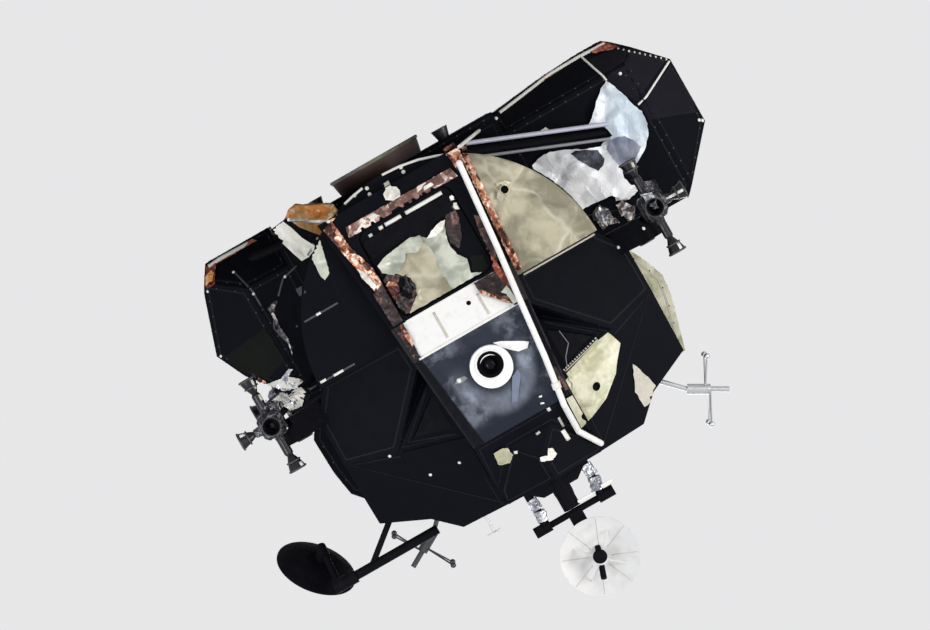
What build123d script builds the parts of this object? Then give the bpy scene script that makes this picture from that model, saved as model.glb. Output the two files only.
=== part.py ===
from build123d import *

import math
import os

os.makedirs("parts", exist_ok=True)

# The ascent stage of a lunar module. Seen from the front +X is to the right, the front faces -Y, +Z is up.
# The origin is at the centre of the four interstage fittings' feet, on the axis of engine and docking tunnel.
# Sketch heights are counted from the axis of the cabin barrel, which lies axis_height above the feet.

# What holds the cabin up: the feet, the base shield, and how far its top lies over the cabin's lowest point
foot_length = 90
base_thickness = 60
base_rise = 70

# Cabin: a round belly under faceted side walls, shoulders and a flat deck
shield_radius = 1220
axis_height = foot_length + base_thickness - base_rise + shield_radius
side_half_width = 1370
side_foot_height = 200
deck_height = 1490
deck_half_width = 810
shoulder_height = deck_height - 340
shoulder_half_width = 1000
shoulder_top_height = deck_height - 180
cabin_wall = 50
cabin_back = -690
belly_front = -1750
belt_height = -30
cheek_run = 350
cheek_joint = -1400

# Centre strip of the face: nose, apron and hatch frame
strip_top_half = 430
strip_foot_half = 620
strip_top_height = 950
strip_foot_height = -1120
nose_front = -1930
nose_top_front = -1880
hatch_frame_front = -1830
nose_foot_height = 155
apron_foot_height = -150
brow_back = -1350
strip_root = -1600

# Eye sockets: the corners of each window plane and the foot of its recess
socket_inner_height = 830
socket_outer_half = 950
socket_outer_height = 700
socket_low_half = 450
socket_low_height = 310
socket_low_depth = 160
socket_foot_height = 150
window_border = 70
glass_thickness = 12
brow_corner_half = 600
brow_corner_back = -1330
brow_plate_thickness = 8
brow_plate_outline = (
    (440, socket_inner_height + 20),
    (920, socket_outer_height + 25),
    (955, socket_outer_height + 130),
    (800, deck_height - 470),
    (600, deck_height - 330),
    (440, deck_height - 265),
)

# Front hatch
hatch_width = 810
hatch_height = 750
hatch_corner = 90
hatch_centre_height = -545
hatch_leaf_thickness = 42
hatch_flange_thickness = 18
hatch_gap = 9
hatch_flange = 18
hatch_hinge_x = -446
hatch_hinge_y = -1737
hatch_hinge_spread = 500
hatch_valve_inset = 130
hatch_valve_radius = 85
hatch_valve_depth = 14

# Hinges: a pin held by a lug at each end, and the knuckle that turns on it
hinge_pin_radius = 8
hinge_knuckle_radius = 16
hinge_length = 130
hinge_lug = 16
overhead_hinge_y = 462
overhead_hinge_spread = 240

# Midsection, its floor over the engine and its rear wall
mid_half_width = 1000
mid_back = 690
mid_wall = 60
bulkhead_thickness = 50
mid_floor_height = -450
base_height = base_rise - shield_radius
engine_well_radius = 460
doorway_half_width = 800
doorway_top_height = deck_height - 110
cabin_floor_height = 265 - shield_radius
cabin_floor_thickness = 40

# Docking tunnel
tunnel_radius = 405
tunnel_wall = 35
tunnel_foot_height = deck_height - 430
tunnel_top_height = deck_height + 40
docking_ring_radius = 415
docking_ring_length = 40
tunnel_flange_radius = 500
tunnel_flange_thickness = 25
overhead_hatch_thickness = 55
overhead_hatch_gap = 6
overhead_plug_clearance = 40
overhead_plug_rise = 20
drogue_hole_radius = 55
drogue_depth = 260
drogue_wall = 8
drogue_rim_gap = 6

# Ascent engine
bell_exit_radius = 395
bell_exit_height = -1353
throat_height = -640
throat_radius = 80
chamber_radius = 125
chamber_top_height = -510
bell_wall = 14
bell_mid_radius = 269
bell_mid_height = -966
chamber_floor_height = -600
chamber_slope_height = -580

# Thruster quads: a box with one thruster up, one down, one outwards and one along the stage
quad_offset = 1679
quad_height = 30
quad_body = 190
quad_chamfer = 30
thruster_vertical_reach = 400
thruster_level_reach = 285
thruster_bell_length = 125
thruster_chamber_radius = 36
thruster_throat_radius = 20
thruster_exit_radius = 70
thruster_wall = 5
thruster_mid_radius = 50
thruster_mid_reach = 56
thruster_neck_length = 20
thruster_throat_depth = 15
boom_radius = 24
boom_block_width = 180
boom_block_height = 190
boom_block_rise = 120
boom_block_end = 100
boom_block_roots = {"front": (1250, 1250), "rear": (1000, 1250)}
# x outwards, y and height where each outrigger tube meets the stage
boom_roots = {
    "front": ((1300, -1180, 260), (1130, -1280, -150), (1130, -900, -150)),
    "rear": ((1000, 1300, 260), (1000, 1340, -230), (1000, 900, -230)),
}

# White tube down the left edge of the strip: x, y and height of its bends
handrail_radius = 24
handrail_post_length = 120
handrail_post_radius = 17
handrail_gap = 65
# x and height of its bends
handrail_route = (
    (-440, deck_height - 60),
    (-335, deck_height - 240),
    (-335, strip_top_height + 50),
    (-390, strip_top_height - 350),
    (-440, nose_foot_height - 35),
    (-490, apron_foot_height - 150),
    (-555, strip_foot_height + 120),
)

# Round light in the nose
light_height = 460
light_outer_radius = 165
light_inner_radius = 90
light_depth = 70
light_lens_thickness = 12

# Rendezvous radar: legs, a shaft across the stage, an arm up to the pivot behind the dish
radar_y = -1440
shaft_height = deck_height + 303
shaft_radius = 26
running_gap = 0.3
post_gap = 8
bearing_radius = 44
bearing_inner = 210
bearing_outer = 350
bearing_cap = 12
leg_foot_height = deck_height - 240
leg_half = 250
pivot_seat = 1
horn_length = 70
horn_radius = 26
subreflector_thickness = 16
spider_foot = 215
spider_foot_rise = 48
spider_top = 40
leg_radius = 34
post_radius = 70
radar_foot_half = 265
radar_foot_top_half = 150
radar_foot_rise = 90
radar_foot_depth = 100
radar_arm_half = 60
radar_arm_depth = 70
pivot_radius = 30
radar_dish_radius = 310
radar_dish_depth = 95
radar_dish_height = shaft_height + 383
radar_dish_offset = 80
radar_arm_top = shaft_height + 287
radar_pin_top = shaft_height + 477
radar_sleeve_radius = 55
subreflector_radius = 55
subreflector_reach = 190
spider_radius = 7
dish_wall = 10
dish_mid_share = 0.6

# Steerable antenna: a boom from the right shoulder, an arm that rolls about it, a dish that swings on the arm
sband_y = -980
sband_height = deck_height - 66
sband_boom_radius = 38
sband_boom_end = 1840
sband_strut_root = (1300, deck_height - 310)
sband_strut_top = 1600
sband_strut_radius = 24
sband_hub_radius = 55
sband_hub_half = 50
sband_arm_length = 420
sband_arm_radius = 28
sband_arm_roll = -40
sband_pin_radius = 22
sband_sleeve_radius = 40
sband_dish_radius = 330
sband_dish_depth = 90
sband_dish_offset = 80
sband_swing = 47
sband_sleeve_half = 60
sband_feed_length = 210
hub_gap = 0.3

# Antennas on the shoulders, each a body with four thin rods
vhf_root = 1090
vhf_root_height = deck_height - 200
vhf_neck = 1255
vhf_neck_height = deck_height - 32
vhf_tip = 1544
vhf_tip_height = deck_height + 133
vhf_neck_radius = 20
vhf_body_radius = 42
vhf_tip_radius = 22
vhf_rod_radius = 7
vhf_rod_length = 300
vhf_ball_radius = 24
vhf_rod_lean = 0.5
vhf_front_y = -820
vhf_rear_y = 430
vhf_rear_root = 925
vhf_rear_root_height = deck_height - 100
vhf_root_depth = 0.25
vhf_body_share = 0.55
vhf_rod_step = 40

# Small things on the roof
docking_window_length = 305
docking_window_width = 127
docking_window_place = (560, -980)
target_place = (640, -300)
target_height = 240
target_radius = 130
target_plate = 12
target_bar = 26

# Bays beside and behind the midsection
upper_bay_back = 520
aft_shield_front = 1470
aft_shield_back = 1600
aft_taper = 180
aft_height_share = 0.85
aft_outline = [(700, -900), (1080, -620), (1080, 820), (760, 1150)]

# Feet on the descent stage
foot_offset = 580
foot_radius = 62
foot_neck_radius = 38
foot_bolt_radius = 14
foot_bolt_depth = 30

# Tube struts under the front of the bays
bay_strut_radius = 34

# Housing of the cut lines and a loose flap of skin, under the right side of the cabin:
# x, and height over the cabin's lowest point
housing_outline = ((430, 100), (640, 190), (830, -50), (760, -100), (700, -110), (440, 30))
housing_front = -1290
housing_back = -1045
flap_outline = ((700, 280), (880, 360), (950, -50), (800, -70), (700, 170))
flap_front = -1500
flap_thickness = 16


def facing(y):
    # Vertical plane across the stage, seen from the front: x to the right, heights from the cabin axis
    return Plane(origin=(0, y, axis_height), x_dir=(1, 0, 0), z_dir=(0, -1, 0))


def beside(x):
    # Vertical plane along the stage, its own x running aft
    return Plane(origin=(x, 0, axis_height), x_dir=(0, 1, 0), z_dir=(1, 0, 0))


def level(height):
    return Plane(origin=(0, 0, axis_height + height))


def at(x, y, height):
    return Vector(x, y, axis_height + height)


def plane_of(a, b, c, outward):
    # Plane through three points whose normal has a positive share along outward
    normal = (b - a).cross(c - a).normalized()
    if normal.dot(outward) < 0:
        normal = normal * -1
    return Plane(origin=a, z_dir=normal)


def cheek_front(x):
    run = (abs(x) - strip_top_half) / (side_half_width - strip_top_half)
    return belly_front + cheek_run * run


def strip_front(height):
    # Depth of the strip's front face at a height
    profile = (
        (apron_foot_height, hatch_frame_front),
        (nose_foot_height, nose_front),
        (strip_top_height, nose_top_front),
        (deck_height, brow_back),
    )
    for (low, low_front), (high, high_front) in zip(profile, profile[1:]):
        if low <= height <= high:
            return low_front + (high_front - low_front) * (height - low) / (high - low)
    return hatch_frame_front


def mirrored_outline(right_points):
    # Closed outline from its right half, listed from the foot up
    return right_points + [(-x, z) for x, z in reversed(right_points)]


def finish(piece, name):
    piece.part.label = name
    export_step(piece.part, f"parts/{name}.step")


def rod(start, end, radius, mode=Mode.ADD):
    # Straight round bar between two points, added to the part being built or cut from it
    run = end - start
    with Locations(Plane(origin=start, z_dir=run)):
        Cylinder(radius, run.length, align=(Align.CENTER, Align.CENTER, Align.MIN), mode=mode)


def hinge_pin(centre, way):
    # Pin with a round lug at each end, added to the fixed piece
    half = way * (hinge_length / 2)
    rod(centre - half, centre + half, hinge_pin_radius)
    rod(centre - half, centre - half + way * hinge_lug, hinge_knuckle_radius)
    rod(centre + half - way * hinge_lug, centre + half, hinge_knuckle_radius)


def hinge_knuckle(centre, way):
    # Sleeve between the lugs, added to the moving piece
    half = way * (hinge_length / 2 - hinge_lug - running_gap)
    rod(centre - half, centre + half, hinge_knuckle_radius)


def hinge_bore(centre, way):
    half = way * (hinge_length / 2)
    rod(centre - half, centre + half, hinge_pin_radius + running_gap, Mode.SUBTRACT)


upper_outline = mirrored_outline(
    [
        (shield_radius, -1),
        (shield_radius, 0),
        (side_half_width, side_foot_height),
        (side_half_width, shoulder_height),
        (shoulder_half_width, shoulder_top_height),
        (deck_half_width, deck_height),
    ]
)
strip_outline = mirrored_outline(
    [
        (strip_foot_half, strip_foot_height),
        (strip_top_half, strip_top_height),
        (strip_top_half, deck_height),
    ]
)


def socket_corners(side):
    inner = at(side * strip_top_half, cheek_front(strip_top_half), socket_inner_height)
    outer = at(side * socket_outer_half, cheek_front(socket_outer_half), socket_outer_height)
    low = at(side * socket_low_half, cheek_front(socket_low_half) + socket_low_depth, socket_low_height)
    foot = at(side * socket_low_half, cheek_front(socket_low_half), socket_foot_height)
    return inner, outer, low, foot


def window_plane(side):
    inner, outer, low, foot = socket_corners(side)
    return plane_of(inner, outer, low, Vector(0, -1, 0))


def socket_form(side, inset):
    # The space that a window's recess takes out of the cheek, grown into the cabin by inset
    inner, outer, low, foot = socket_corners(side)
    sill = plane_of(outer, low, foot, Vector(0, 0, 1))
    with BuildPart() as socket:
        with BuildSketch(facing(cabin_back)):
            with Locations((side * (strip_top_half - inset), belt_height)):
                Rectangle(
                    side_half_width,
                    deck_height,
                    align=(Align.MIN if side > 0 else Align.MAX, Align.MIN),
                )
        extrude(amount=cabin_back - nose_front)
        split(bisect_by=window_plane(side).offset(-inset), keep=Keep.TOP)
        split(bisect_by=sill.offset(-inset), keep=Keep.TOP)
    return socket.part


def cabin_form(inset):
    # Solid of the whole cabin, every outer face moved inwards by inset, open at the back
    sockets = {side: socket_form(side, inset) for side in (-1, 1)}
    with BuildPart() as belly:
        with BuildSketch(facing(cabin_back)):
            Circle(shield_radius - inset)
            with Locations((0, belt_height - inset)):
                Rectangle(
                    4 * shield_radius,
                    2 * shield_radius,
                    align=(Align.CENTER, Align.MIN),
                    mode=Mode.SUBTRACT,
                )
        extrude(amount=cabin_back - belly_front - inset)
    with BuildPart() as top:
        with BuildSketch(facing(cabin_back)):
            Circle(shield_radius)
            Polygon(*upper_outline, align=None)
            if inset:
                offset(amount=-inset, kind=Kind.INTERSECTION)
            with Locations((0, belt_height - inset)):
                Rectangle(
                    4 * shield_radius,
                    2 * shield_radius,
                    align=(Align.CENTER, Align.MAX),
                    mode=Mode.SUBTRACT,
                )
        extrude(amount=cabin_back - belly_front - inset)
        for side in (-1, 1):
            inner, outer, low, foot = socket_corners(side)
            far_cheek = at(side * side_half_width, cheek_front(side_half_width), 0)
            cheek = plane_of(inner, foot, far_cheek, Vector(0, -1, 0))
            brow_corner = at(side * brow_corner_half, brow_corner_back, deck_height)
            brow_side = plane_of(inner, outer, brow_corner, Vector(0, -1, 0))
            for cut in (cheek, brow_side):
                split(bisect_by=cut.offset(-inset), keep=Keep.BOTTOM)
            add(sockets[side], mode=Mode.SUBTRACT)
    with BuildPart() as strip:
        with BuildSketch(beside(-strip_foot_half)):
            Polygon(
                (cabin_back + inset, belt_height),
                (strip_root, belt_height),
                (strip_root, strip_foot_height),
                (hatch_frame_front, strip_foot_height),
                (hatch_frame_front, apron_foot_height),
                (nose_front, nose_foot_height),
                (nose_top_front, strip_top_height),
                (brow_back, deck_height),
                (cabin_back + inset, deck_height),
                align=None,
            )
            if inset:
                offset(amount=-inset, kind=Kind.INTERSECTION)
        extrude(amount=2 * strip_foot_half)
        with BuildSketch(facing(cabin_back)):
            Polygon(*strip_outline, align=None)
            if inset:
                offset(amount=-inset, kind=Kind.INTERSECTION)
        extrude(amount=cabin_back - nose_front, mode=Mode.INTERSECT)
    with BuildPart() as form:
        add(belly.part)
        add(top.part)
        add(strip.part)
    return form.part


cabin_outer = cabin_form(0)
cabin_inner = cabin_form(cabin_wall)
cabin_shell = cabin_outer - cabin_inner

# Regions of the face in front view: the strip, and the part of the shell each panel takes
far = 2 * side_half_width


def strip_half(height):
    share = (height - strip_foot_height) / (strip_top_height - strip_foot_height)
    return strip_foot_half + min(share, 1) * (strip_top_half - strip_foot_half)


def strip_band(low, high):
    # Outline of the strip between two heights
    return mirrored_outline([(strip_half(low), low), (strip_half(high), high)])


def face_panel(outline, back):
    # The part of the cabin shell inside a front-view outline and in front of a depth
    with BuildPart() as panel:
        add(cabin_shell)
        with BuildSketch(facing(back)):
            Polygon(*outline, align=None)
        extrude(amount=back - nose_front + 1, mode=Mode.INTERSECT)
    return panel.part


def beside_strip(side, low, high):
    # Outline of one side of the face, from the strip outwards
    points = [(strip_half(low), low), (far, low), (far, high), (strip_half(high), high)]
    if low < strip_top_height < high:
        points.append((strip_top_half, strip_top_height))
    if low < strip_foot_height < high:
        points.append((strip_foot_half, strip_foot_height))
    return [(side * x, z) for x, z in points]


belly_joint = belly_front + cabin_wall

# Belly, sides, shoulders and the front of the deck
with BuildPart() as cabin_barrel:
    add(cabin_shell)
    with BuildSketch(facing(cheek_joint)):
        with Locations((0, belt_height)):
            Rectangle(2 * far, 2 * far, align=(Align.CENTER, Align.MIN))
        Polygon(*strip_band(strip_foot_height, belt_height), align=None)
    extrude(amount=cheek_joint - nose_front + 1, mode=Mode.SUBTRACT)
    with BuildSketch(facing(belly_joint)):
        Rectangle(2 * far, 2 * far)
    extrude(amount=far, mode=Mode.SUBTRACT)
    with BuildSketch(level(deck_height)):
        with Locations(docking_window_place):
            Rectangle(docking_window_width, docking_window_length)
    extrude(amount=-2 * cabin_wall, mode=Mode.SUBTRACT)
finish(cabin_barrel, "cabin_barrel")

# Lower quarters of the face, upper panels with their window sockets, and the panes
for side, hand in ((-1, "left"), (1, "right")):
    with BuildPart() as lower_face:
        add(face_panel(beside_strip(side, -shield_radius, belt_height), belly_joint))
    finish(lower_face, f"lower_face_{hand}")

    glass_plane = window_plane(side)
    corners = [glass_plane.to_local_coords(corner) for corner in socket_corners(side)[:3]]

    with BuildPart() as window_panel:
        add(face_panel(beside_strip(side, belt_height, deck_height + 1), cheek_joint))
        with BuildSketch(glass_plane):
            Polygon(*[(corner.X, corner.Y) for corner in corners], align=None)
            offset(amount=-window_border)
        extrude(amount=cabin_wall * 1.5, both=True, mode=Mode.SUBTRACT)
    finish(window_panel, f"window_panel_{hand}")

    with BuildPart() as window_glass:
        with BuildSketch(glass_plane.offset(-cabin_wall / 2)):
            Polygon(*[(corner.X, corner.Y) for corner in corners], align=None)
            offset(amount=-window_border)
        extrude(amount=glass_thickness)
    finish(window_glass, f"window_glass_{hand}")

# Centre strip, from the brow down to the hatch frame
for name, low, high in (
    ("brow_panel", strip_top_height, deck_height + 1),
    ("nose_panel", nose_foot_height, strip_top_height),
    ("nose_apron", apron_foot_height, nose_foot_height),
):
    with BuildPart() as strip_panel:
        add(face_panel(strip_band(low, high), cheek_joint))
    finish(strip_panel, name)

hatch_hinges = [
    at(hatch_hinge_x, hatch_hinge_y, hatch_centre_height + end * hatch_hinge_spread / 2) for end in (-1, 1)
]
with BuildPart() as hatch_frame:
    add(face_panel(strip_band(strip_foot_height, apron_foot_height), cheek_joint))
    chin = mirrored_outline([(strip_foot_half, -shield_radius - 1), (strip_foot_half, strip_foot_height)])
    add(face_panel(chin, belly_joint))
    with BuildSketch(facing(cheek_joint)):
        with Locations((0, hatch_centre_height)):
            RectangleRounded(hatch_width, hatch_height, hatch_corner)
    extrude(amount=far, mode=Mode.SUBTRACT)
    for centre in hatch_hinges:
        hinge_pin(centre, Vector(0, 0, 1))
        for end in (-1, 1):
            with Locations(centre + Vector(0, 0, end * (hinge_length - hinge_lug) / 2)):
                Box(
                    2 * hinge_knuckle_radius,
                    hatch_hinge_y - hatch_frame_front - cabin_wall,
                    hinge_lug,
                    align=(Align.CENTER, Align.MAX, Align.CENTER),
                )
finish(hatch_frame, "hatch_frame")

# Front hatch: a leaf in the frame, a flange that closes against it from inside, a round valve outside
hatch_seat = hatch_frame_front + cabin_wall + hatch_gap
valve_place = (
    hatch_width / 2 - hatch_valve_inset,
    hatch_centre_height + hatch_height / 2 - hatch_valve_inset,
)
with BuildPart() as forward_hatch:
    with BuildSketch(facing(hatch_seat + hatch_flange_thickness)):
        with Locations((0, hatch_centre_height)):
            RectangleRounded(hatch_width + 2 * hatch_flange, hatch_height + 2 * hatch_flange, hatch_corner)
    extrude(amount=hatch_flange_thickness)
    with BuildSketch(facing(hatch_seat)):
        with Locations((0, hatch_centre_height)):
            RectangleRounded(
                hatch_width - 2 * hatch_gap,
                hatch_height - 2 * hatch_gap,
                hatch_corner - hatch_gap,
            )
    extrude(amount=hatch_leaf_thickness)
    with BuildSketch(facing(hatch_seat - hatch_leaf_thickness)):
        with Locations(valve_place):
            Circle(hatch_valve_radius)
    extrude(amount=hatch_valve_depth)
    with BuildSketch(facing(hatch_seat + hatch_flange_thickness)):
        with Locations(valve_place):
            Circle(hatch_valve_radius / 2)
    extrude(amount=-hatch_valve_depth)
    flange_face = hatch_seat + hatch_flange_thickness
    for centre in hatch_hinges:
        hinge_knuckle(centre, Vector(0, 0, 1))
        with Locations(Vector(hatch_hinge_x, flange_face, centre.Z)):
            Box(
                4 * hinge_knuckle_radius,
                hatch_hinge_y - flange_face,
                hinge_length - 2 * (hinge_lug + running_gap),
                align=(Align.MIN, Align.MIN, Align.CENTER),
            )
        hinge_bore(centre, Vector(0, 0, 1))
finish(forward_hatch, "forward_hatch")

# Cabin floor and the bulkhead behind the cabin, with the doorway to the midsection
with BuildPart() as cabin_floor:
    with BuildSketch(level(cabin_floor_height)):
        with Locations((0, cabin_back)):
            Rectangle(2 * shield_radius, cabin_back - belly_joint, align=(Align.CENTER, Align.MAX))
    extrude(amount=-cabin_floor_thickness)
    add(cabin_inner, mode=Mode.INTERSECT)
finish(cabin_floor, "cabin_floor")

with BuildPart() as cabin_bulkhead:
    with BuildSketch(facing(cabin_back)):
        Circle(shield_radius)
        Polygon(*upper_outline, align=None)
        with Locations((0, (mid_floor_height + doorway_top_height) / 2)):
            Rectangle(
                2 * doorway_half_width,
                doorway_top_height - mid_floor_height,
                mode=Mode.SUBTRACT,
            )
    extrude(amount=-bulkhead_thickness)
finish(cabin_bulkhead, "cabin_bulkhead")

# Midsection: a box between the bulkheads, its roof carrying the docking tunnel, its floor covering the engine
mid_front = cabin_back + bulkhead_thickness
mid_outline = mirrored_outline(
    [
        (mid_half_width, base_height),
        (mid_half_width, shoulder_top_height),
        (deck_half_width, deck_height),
    ]
)
with BuildPart() as midsection:
    with BuildSketch(facing(mid_back)):
        Polygon(*mid_outline, align=None)
    extrude(amount=mid_back - mid_front)
    with BuildSketch(facing(mid_back - mid_wall)):
        Polygon(*mid_outline, align=None)
        offset(amount=-mid_wall, kind=Kind.INTERSECTION)
        with Locations((0, mid_floor_height)):
            Rectangle(2 * far, far, align=(Align.CENTER, Align.MAX), mode=Mode.SUBTRACT)
    extrude(amount=mid_back - mid_wall - mid_front, mode=Mode.SUBTRACT)
    with BuildSketch(facing(mid_back - mid_wall)):
        Polygon(
            *mirrored_outline(
                [
                    (mid_half_width - mid_wall, base_height),
                    (mid_half_width - mid_wall, mid_floor_height - mid_wall),
                ]
            ),
            align=None,
        )
    extrude(amount=mid_back - 2 * mid_wall - mid_front, mode=Mode.SUBTRACT)
    with BuildSketch(level(deck_height)):
        Circle(tunnel_radius + tunnel_wall)
    extrude(amount=-2 * mid_wall, mode=Mode.SUBTRACT)
finish(midsection, "midsection")

# Base under the engine room: a flat heat shield with the round hole for the bell
with BuildPart() as base_shield:
    with BuildSketch(level(base_height)):
        with Locations((0, (mid_front + mid_back) / 2)):
            Rectangle(2 * mid_half_width, mid_back - mid_front)
        Circle(engine_well_radius, mode=Mode.SUBTRACT)
    extrude(amount=-base_thickness)
finish(base_shield, "base_shield")

# Docking tunnel with its ring, the drogue cone and the overhead hatch
overhead_seat = tunnel_foot_height - overhead_hatch_gap
overhead_hinges = [
    at(end * overhead_hinge_spread / 2, overhead_hinge_y, overhead_seat - overhead_hatch_thickness / 4)
    for end in (-1, 1)
]
lug_rise = tunnel_foot_height - overhead_seat + overhead_hatch_thickness / 4 + overhead_hatch_gap
with BuildPart() as docking_tunnel:
    with BuildSketch(Plane(origin=(0, 0, axis_height), x_dir=(1, 0, 0), z_dir=(0, -1, 0))):
        with BuildLine():
            Polyline(
                (tunnel_radius, tunnel_foot_height),
                (tunnel_radius + tunnel_wall, tunnel_foot_height),
                (tunnel_radius + tunnel_wall, deck_height),
                (tunnel_flange_radius, deck_height),
                (tunnel_flange_radius, deck_height + tunnel_flange_thickness),
                (tunnel_radius + tunnel_wall, tunnel_top_height),
                (docking_ring_radius, tunnel_top_height),
                (docking_ring_radius, tunnel_top_height - docking_ring_length),
                (tunnel_radius, tunnel_top_height - docking_ring_length),
                close=True,
            )
        make_face()
    revolve(axis=Axis.Z)
    for centre in overhead_hinges:
        hinge_pin(centre, Vector(1, 0, 0))
        for end in (-1, 1):
            # Each lug rises behind the hatch and then turns in to the tunnel's wall
            lug_back = centre + Vector(end * (hinge_length - hinge_lug) / 2, hinge_knuckle_radius, 0)
            lug_depth = 2 * hinge_knuckle_radius
            for rise, depth in ((0, lug_depth), (lug_rise, lug_depth + tunnel_wall)):
                with Locations(lug_back + Vector(0, 0, rise)):
                    Box(hinge_lug, depth, lug_rise, align=(Align.CENTER, Align.MAX, Align.MIN))
    with BuildSketch(level(tunnel_foot_height - lug_rise)):
        Circle(tunnel_radius)
    extrude(amount=4 * lug_rise, mode=Mode.SUBTRACT)
finish(docking_tunnel, "docking_tunnel")

drogue_rim = tunnel_top_height - docking_ring_length - drogue_rim_gap
with BuildPart() as docking_drogue:
    with BuildSketch(Plane(origin=(0, 0, axis_height), x_dir=(1, 0, 0), z_dir=(0, -1, 0))):
        with BuildLine():
            Polyline(
                (drogue_hole_radius, drogue_rim - drogue_depth),
                (drogue_hole_radius + drogue_wall, drogue_rim - drogue_depth),
                (tunnel_radius, drogue_rim - drogue_wall),
                (tunnel_radius, drogue_rim),
                (tunnel_radius - drogue_wall, drogue_rim),
                close=True,
            )
        make_face()
    revolve(axis=Axis.Z)
finish(docking_drogue, "docking_drogue")

with BuildPart() as overhead_hatch:
    with BuildSketch(level(overhead_seat)):
        Circle(tunnel_radius + tunnel_wall)
    extrude(amount=-overhead_hatch_thickness / 2)
    with BuildSketch(level(overhead_seat - overhead_hatch_thickness / 2)):
        Circle(tunnel_radius)
    extrude(amount=-overhead_hatch_thickness / 2)
    with BuildSketch(level(overhead_seat)):
        Circle(tunnel_radius - overhead_plug_clearance)
    extrude(amount=overhead_hatch_gap + overhead_plug_rise)
    for centre in overhead_hinges:
        with Locations(centre):
            Box(
                hinge_length - 2 * (hinge_lug + running_gap),
                overhead_hinge_y - tunnel_radius,
                overhead_hatch_thickness / 2,
                align=(Align.CENTER, Align.MAX, Align.CENTER),
            )
        hinge_knuckle(centre, Vector(1, 0, 0))
        hinge_bore(centre, Vector(1, 0, 0))
finish(overhead_hatch, "overhead_hatch")


def plan_cut(a, b):
    # Upright plane through two points given as x, y
    return plane_of(Vector(*a, 0), Vector(*b, 0), Vector(*a, 1), Vector(*a, 0))


def foot_cut(a, b):
    # Plane along X through two points given as y, height
    return plane_of(at(0, *a), at(0, *b), at(1, *a), Vector(0, *a))


# Propellant tank bays: the larger one on the left, the smaller on the right
# Columns: name, side, outline (x outwards, height), corner in plan as two (x, y), foot as two (y, height)
tank_bays = (
    (
        "tank_bay_left",
        -1,
        ((1000, 146), (2035, 146), (2460, -298), (2460, -866), (2110, -1217), (2045, -1269), (1840, -1269),
         (1500, -1248), (1000, -1190)),
        ((2035, 690), (2460, 350)),
        ((690, -970), (350, -1290)),
    ),
    (
        "tank_bay_right",
        1,
        ((1000, 60), (1380, 60), (1745, -350), (1870, -600), (1700, -1090), (1580, -1290), (1000, -1290)),
        ((1300, 690), (1870, 330)),
        ((690, -900), (350, -1290)),
    ),
)
for name, side, outline, corner, foot in tank_bays:
    with BuildPart() as tank_bay:
        with BuildSketch(facing(mid_back)):
            Polygon(*[(side * x, z) for x, z in outline], align=None)
        extrude(amount=mid_back - mid_front)
        for depth in (-1, 1):
            (x1, y1), (x2, y2) = corner
            split(bisect_by=plan_cut((side * x1, depth * y1), (side * x2, depth * y2)), keep=Keep.BOTTOM)
            (y1, z1), (y2, z2) = foot
            split(bisect_by=foot_cut((depth * y1, z1), (depth * y2, z2)), keep=Keep.BOTTOM)
    finish(tank_bay, name)

# Upper bays over the tank bays, for the thrusters' propellant
upper_bays = (
    (
        "upper_bay_left",
        -1,
        ((1000, 1220), (1400, 1200), (1520, 766), (1540, 590), (1470, 405), (1400, 270), (1000, 200)),
    ),
    (
        "upper_bay_right",
        1,
        ((1000, 1060), (1400, 950), (1470, 870), (1505, 660), (1515, 350), (1400, 180), (1000, 120)),
    ),
)
for name, side, outline in upper_bays:
    with BuildPart() as upper_bay:
        with BuildSketch(facing(upper_bay_back)):
            Polygon(*[(side * x, z) for x, z in outline], align=None)
        extrude(amount=upper_bay_back - mid_front)
    finish(upper_bay, name)

# Equipment bay behind the midsection and the shield over its back
with BuildPart() as aft_bay:
    with BuildSketch(facing(aft_shield_front)):
        Polygon(*mirrored_outline(aft_outline), align=None)
    extrude(amount=aft_shield_front - mid_back)
finish(aft_bay, "aft_bay")
with BuildPart() as aft_shield:
    with BuildSketch(facing(aft_shield_front)):
        Polygon(*mirrored_outline(aft_outline), align=None)
    with BuildSketch(facing(aft_shield_back)):
        tapered = [(x - aft_taper, z * aft_height_share) for x, z in aft_outline]
        Polygon(*mirrored_outline(tapered), align=None)
    loft(ruled=True)
finish(aft_shield, "aft_shield")

# Ascent engine: chamber, throat and bell
with BuildPart() as ascent_engine:
    with BuildSketch(Plane(origin=(0, 0, axis_height), x_dir=(1, 0, 0), z_dir=(0, -1, 0))):
        with BuildLine():
            bell_inner = ThreePointArc(
                (throat_radius, throat_height),
                (bell_mid_radius, bell_mid_height),
                (bell_exit_radius - bell_wall, bell_exit_height),
            )
            Line(bell_inner @ 1, (bell_exit_radius, bell_exit_height))
            bell_outer = ThreePointArc(
                (bell_exit_radius, bell_exit_height),
                (bell_mid_radius + bell_wall, bell_mid_height + bell_wall),
                (throat_radius + bell_wall, throat_height + bell_wall),
            )
            Polyline(
                bell_outer @ 1,
                (chamber_radius, chamber_slope_height),
                (chamber_radius, chamber_top_height),
                (0, chamber_top_height),
                (0, chamber_floor_height),
                (throat_radius, chamber_floor_height),
                bell_inner @ 0,
            )
        make_face()
    revolve(axis=Axis.Z)
finish(ascent_engine, "ascent_engine")

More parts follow.
